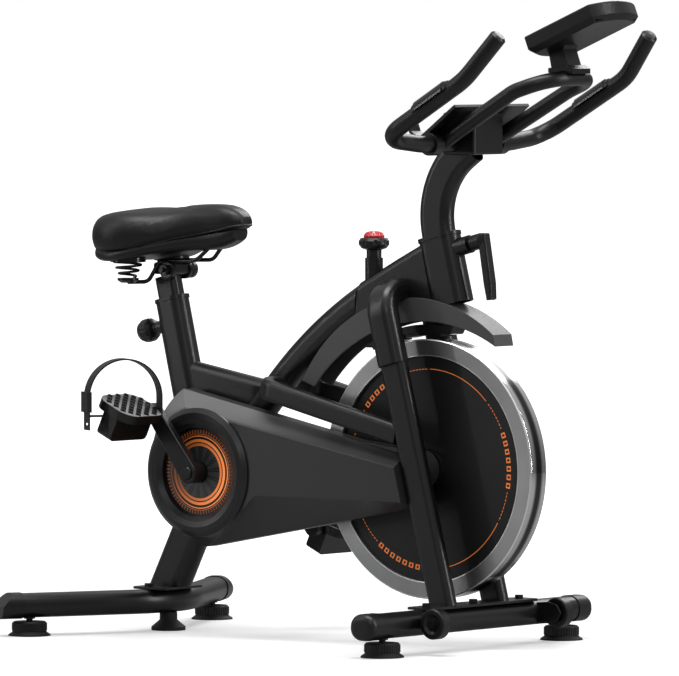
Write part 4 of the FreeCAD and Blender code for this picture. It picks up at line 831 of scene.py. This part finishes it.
@dataclass
class Display:
    """Face of the console: time on the screen, a row of ticks, a ring and a word by the button."""

    tilt: float = 22.2
    centre: Triple = (0.465459, 0.0, 1.0345)
    screen_x: tuple[float, float] = (0.006, 0.050)
    digit_height: float = 0.022
    digit_width: float = 0.011
    stroke: float = 0.0024
    button_x: float = -0.030
    word_size: float = 0.007
    word_drop: float = 0.030
    inset: tuple[float, float] = (-0.0007, -0.0003)
    raised: tuple[float, float] = (-0.0002, 0.0003)
    oval_steps: int = 48

    SEGMENTS = {"6": "afgedc", "5": "afgcd", "9": "abcdfg"}

    def __post_init__(self) -> None:
        """Place the face: across runs to the rider's right, up towards the console's far end."""
        turn = Matrix.Rotation(math.radians(-self.tilt), 4, "Y")
        swap = Matrix(((0, 1, 0, 0), (-1, 0, 0, 0), (0, 0, 1, 0), (0, 0, 0, 1)))
        self.place = Matrix.Translation(Vector(self.centre)) @ turn @ swap

    def bar(self, shape: bmesh.types.BMesh, x: float, y: float, wide: float, tall: float,
            levels: tuple[float, float]) -> None:
        """Add a thin rectangular plate about its middle, between two levels of the face."""
        signs = ((-1, -1), (1, -1), (1, 1), (-1, 1))
        corners = [(x + right * wide / 2, y + up * tall / 2) for right, up in signs]
        add_prism(shape, *[[self.place @ Vector((*corner, z)) for corner in corners] for z in levels])

    def build(self) -> None:
        """Make the face."""
        digits = bmesh.new()
        middle = sum(self.screen_x) / 2
        for digit, x in (("6", -0.0185), ("5", 0.0035), ("9", 0.0215)):
            self.digit(digits, digit, x, middle)
        for y in (middle - 0.0045, middle + 0.0045):
            self.bar(digits, -0.0075, y, self.stroke, self.stroke, self.inset)
        for step in range(9):
            growth = 0.0004 * step
            self.bar(digits, -0.024 + step * 0.006, self.screen_x[0] - 0.008 + growth, 0.0026,
                     0.0014 + growth, self.raised)
        lay("display_digits", from_bmesh("display_digits", digits), Finish.DIGIT.value.material(),
            "handlebar")
        trim = bmesh.new()
        self.oval(trim, 0.0, self.button_x, 0.030, 0.0165, 0.0012)
        self.oval(trim, 0.0, self.button_x, 0.0108, 0.0108, 0.0007)
        for y in (-0.060, 0.060):
            self.bar(trim, 0.0, y, 0.086, 0.0008, self.raised)
        lay("display_trim", from_bmesh("display_trim", trim), Finish.STEEL.value.material(),
            "handlebar")
        self.word()

    def digit(self, shape: bmesh.types.BMesh, digit: str, x: float, y: float) -> None:
        """Add one seven-segment figure."""
        wide, tall, stroke = self.digit_width, self.digit_height, self.stroke
        places = {"a": (0, tall / 2, 1), "g": (0, 0, 1), "d": (0, -tall / 2, 1),
                  "f": (-wide / 2, tall / 4, 0), "b": (wide / 2, tall / 4, 0),
                  "e": (-wide / 2, -tall / 4, 0), "c": (wide / 2, -tall / 4, 0)}
        for segment in self.SEGMENTS[digit]:
            across, up, flat = places[segment]
            size = (wide - stroke, stroke) if flat else (stroke, tall / 2 - stroke)
            self.bar(shape, x + across, y + up, *size, self.inset)

    def oval(self, shape: bmesh.types.BMesh, x: float, y: float, half_x: float, half_y: float,
             wide: float) -> None:
        """Add a flat oval ring as short plates that share their ends."""
        angles = [2 * math.pi * step / self.oval_steps for step in range(self.oval_steps)]
        inner, outer = [[(x + (half_x + grow) * math.cos(angle), y + (half_y + grow) * math.sin(angle))
                         for angle in angles] for grow in (0.0, wide)]
        low, high = self.raised
        walls = [[shape.verts.new(self.place @ Vector((*point, z))) for point in ring]
                 for ring, z in ((inner, low), (outer, low), (outer, high), (inner, high))]
        for first, last in zip(walls, walls[1:] + walls[:1]):
            for step in range(self.oval_steps):
                after = (step + 1) % self.oval_steps
                shape.faces.new((first[step], last[step], last[after], first[after]))

    def word(self) -> None:
        """Print the button's word below it."""
        text = bpy.data.curves.new("word", "FONT")
        text.body = "MODE"
        text.size = self.word_size
        text.align_x = "CENTER"
        text.extrude = 0.0002
        holder = bpy.data.objects.new("word", text)
        bpy.context.scene.collection.objects.link(holder)
        mesh = bpy.data.meshes.new_from_object(holder.evaluated_get(bpy.context.evaluated_depsgraph_get()))
        bpy.data.objects.remove(holder)
        mesh.transform(self.place @ Matrix.Translation((0.0, self.button_x - self.word_drop, 0.0001)))
        lay("button_word", mesh, Finish.PRINT.value.material(), "handlebar")


@dataclass(frozen=True)
class Lamp:
    """One rectangular lamp."""

    name: str
    place: Triple
    size: tuple[float, float]
    power: float
    aim: Triple = (0.0, 0.0, 0.5)

    def hang(self) -> None:
        """Put the lamp in the scene, turned to what it lights."""
        data = bpy.data.lights.new(self.name, "AREA")
        data.shape = "RECTANGLE"
        data.size, data.size_y = self.size
        data.energy = self.power
        lamp = bpy.data.objects.new(self.name, data)
        lamp.location = self.place
        lamp.rotation_mode = "QUATERNION"
        lamp.rotation_quaternion = (Vector(self.aim) - Vector(self.place)).to_track_quat("-Z", "Y")
        bpy.context.scene.collection.objects.link(lamp)


@dataclass
class Studio:
    """Pale floor, soft lamps and the camera."""

    behind_axle: float = 0.2023
    height: float = 0.5048
    azimuth: float = 38.5
    elevation: float = 2.315
    distance: float = 14.0
    lens: float = 445.36
    sky_base: float = 0.16
    sky_gain: float = 0.50
    ambient: float = 0.32
    lamps: tuple[Lamp, ...] = (
        Lamp("left", (-2.3, -2.2, 1.7), (0.12, 2.8), 17.0),
        Lamp("right", (3.0, 1.1, 1.5), (0.16, 2.6), 42.0),
        Lamp("front", (2.0, -3.0, 2.4), (0.8, 0.8), 9.0),
        Lamp("back", (-0.4, 2.8, 2.6), (1.8, 1.2), 45.0, (0.0, 0.0, 0.6)),
        Lamp("top", (0.2, -0.5, 3.4), (2.6, 1.2), 80.0, (0.0, 0.0, 0.3)))

    def build(self) -> None:
        """Make the whole studio."""
        self.world()
        self.floor()
        for lamp in self.lamps:
            lamp.hang()
        self.camera()
        bpy.context.scene.view_settings.view_transform = "Standard"

    def world(self) -> None:
        """White to the eye, graded from dark below to pale above in reflections, dim as a light."""
        world = bpy.data.worlds.new("studio_world")
        world.use_nodes = True
        tree = world.node_tree
        tree.nodes.clear()
        path = tree.nodes.new("ShaderNodeLightPath")
        camera = Value(tree, path.outputs["Is Camera Ray"])
        mirror = Value(tree, path.outputs["Is Glossy Ray"])
        mirror = mirror.maths("MAXIMUM", Value(tree, path.outputs["Is Transmission Ray"]))
        split = tree.nodes.new("ShaderNodeSeparateXYZ")
        tree.links.new(tree.nodes.new("ShaderNodeTexCoord").outputs["Generated"], split.inputs[0])
        graded = Value(tree, split.outputs["Z"]).ramp(-0.1, 0.9) * self.sky_gain + self.sky_base
        strength = camera + (1.0 - camera) * (mirror * graded + (1.0 - mirror) * self.ambient)
        sky = tree.nodes.new("ShaderNodeBackground")
        tree.links.new(strength.socket, sky.inputs["Strength"])
        output = tree.nodes.new("ShaderNodeOutputWorld")
        tree.links.new(sky.outputs[0], output.inputs["Surface"])
        sky.inputs["Color"].default_value = (1.0, 1.0, 1.0, 1.0)
        bpy.context.scene.world = world

    def floor(self) -> None:
        """Wide pale floor that keeps the bike's shadow and gives little light back."""
        sheet = bmesh.new()
        bmesh.ops.create_grid(sheet, x_segments=1, y_segments=1, size=40.0)
        mesh = bpy.data.meshes.new("floor")
        sheet.to_mesh(mesh)
        sheet.free()
        floor = bpy.data.objects.new("floor", mesh)
        bpy.context.scene.collection.objects.link(floor)
        made = Recipe("floor_white")
        shade = made.noise(made.place(), 3.0)
        seen = Value(made.tree, made.node("LightPath").outputs["Is Camera Ray"])
        pale = made.blend(shade, (0.80, 0.80, 0.80), (0.82, 0.82, 0.82))
        made.set(Base_Color=made.blend(seen, (0.34, 0.34, 0.34), pale), Roughness=0.6, Specular_IOR_Level=0.2,
                 Emission_Color=(1.0, 1.0, 1.0))
        across, along, _ = made.axes(made.place())
        away = across.hypot(along).ramp(0.8, 4.5)
        made.feed(made.shader.inputs["Emission Strength"], seen * (away * 0.75 + 0.30))
        mesh.materials.append(made.material)

    def camera(self) -> None:
        """Long lens, a little above level, from the front right."""
        data = bpy.data.cameras.new("camera")
        data.lens = self.lens
        data.sensor_width = 36.0
        data.clip_end = 100.0
        camera = bpy.data.objects.new("camera", data)
        azimuth, elevation = math.radians(self.azimuth), math.radians(self.elevation)
        back = Vector((math.sin(azimuth) * math.cos(elevation), -math.cos(azimuth) * math.cos(elevation),
                       math.sin(elevation)))
        target = Vector((joint_point("flywheel_spin").x - self.behind_axle, 0.0, self.height))
        camera.location = target + back * self.distance
        camera.rotation_mode = "QUATERNION"
        camera.rotation_quaternion = (-back).to_track_quat("-Z", "Y")
        bpy.context.scene.collection.objects.link(camera)
        bpy.context.scene.camera = camera


def main() -> None:
    """Dress the frame and build every added piece."""
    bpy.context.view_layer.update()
    for finish, nodes in NODE_FINISH.items():
        material = finish.value.material()
        for node in nodes:
            paint(node, material)
        LOG.info("%s on %d nodes", finish.value.name, len(nodes))
    for part in (Flywheel(), BeltCover(), PulseSensors(), CrankDisc(), KnobCap(), SaddlePad(), Tread(),
                 ToeStrap(), FootKnurl(), Display()):
        part.build()
        LOG.info("%s built", type(part).__name__)
    Studio().build()


if __name__ == "__main__":
    logging.basicConfig(level=logging.INFO)
    main()
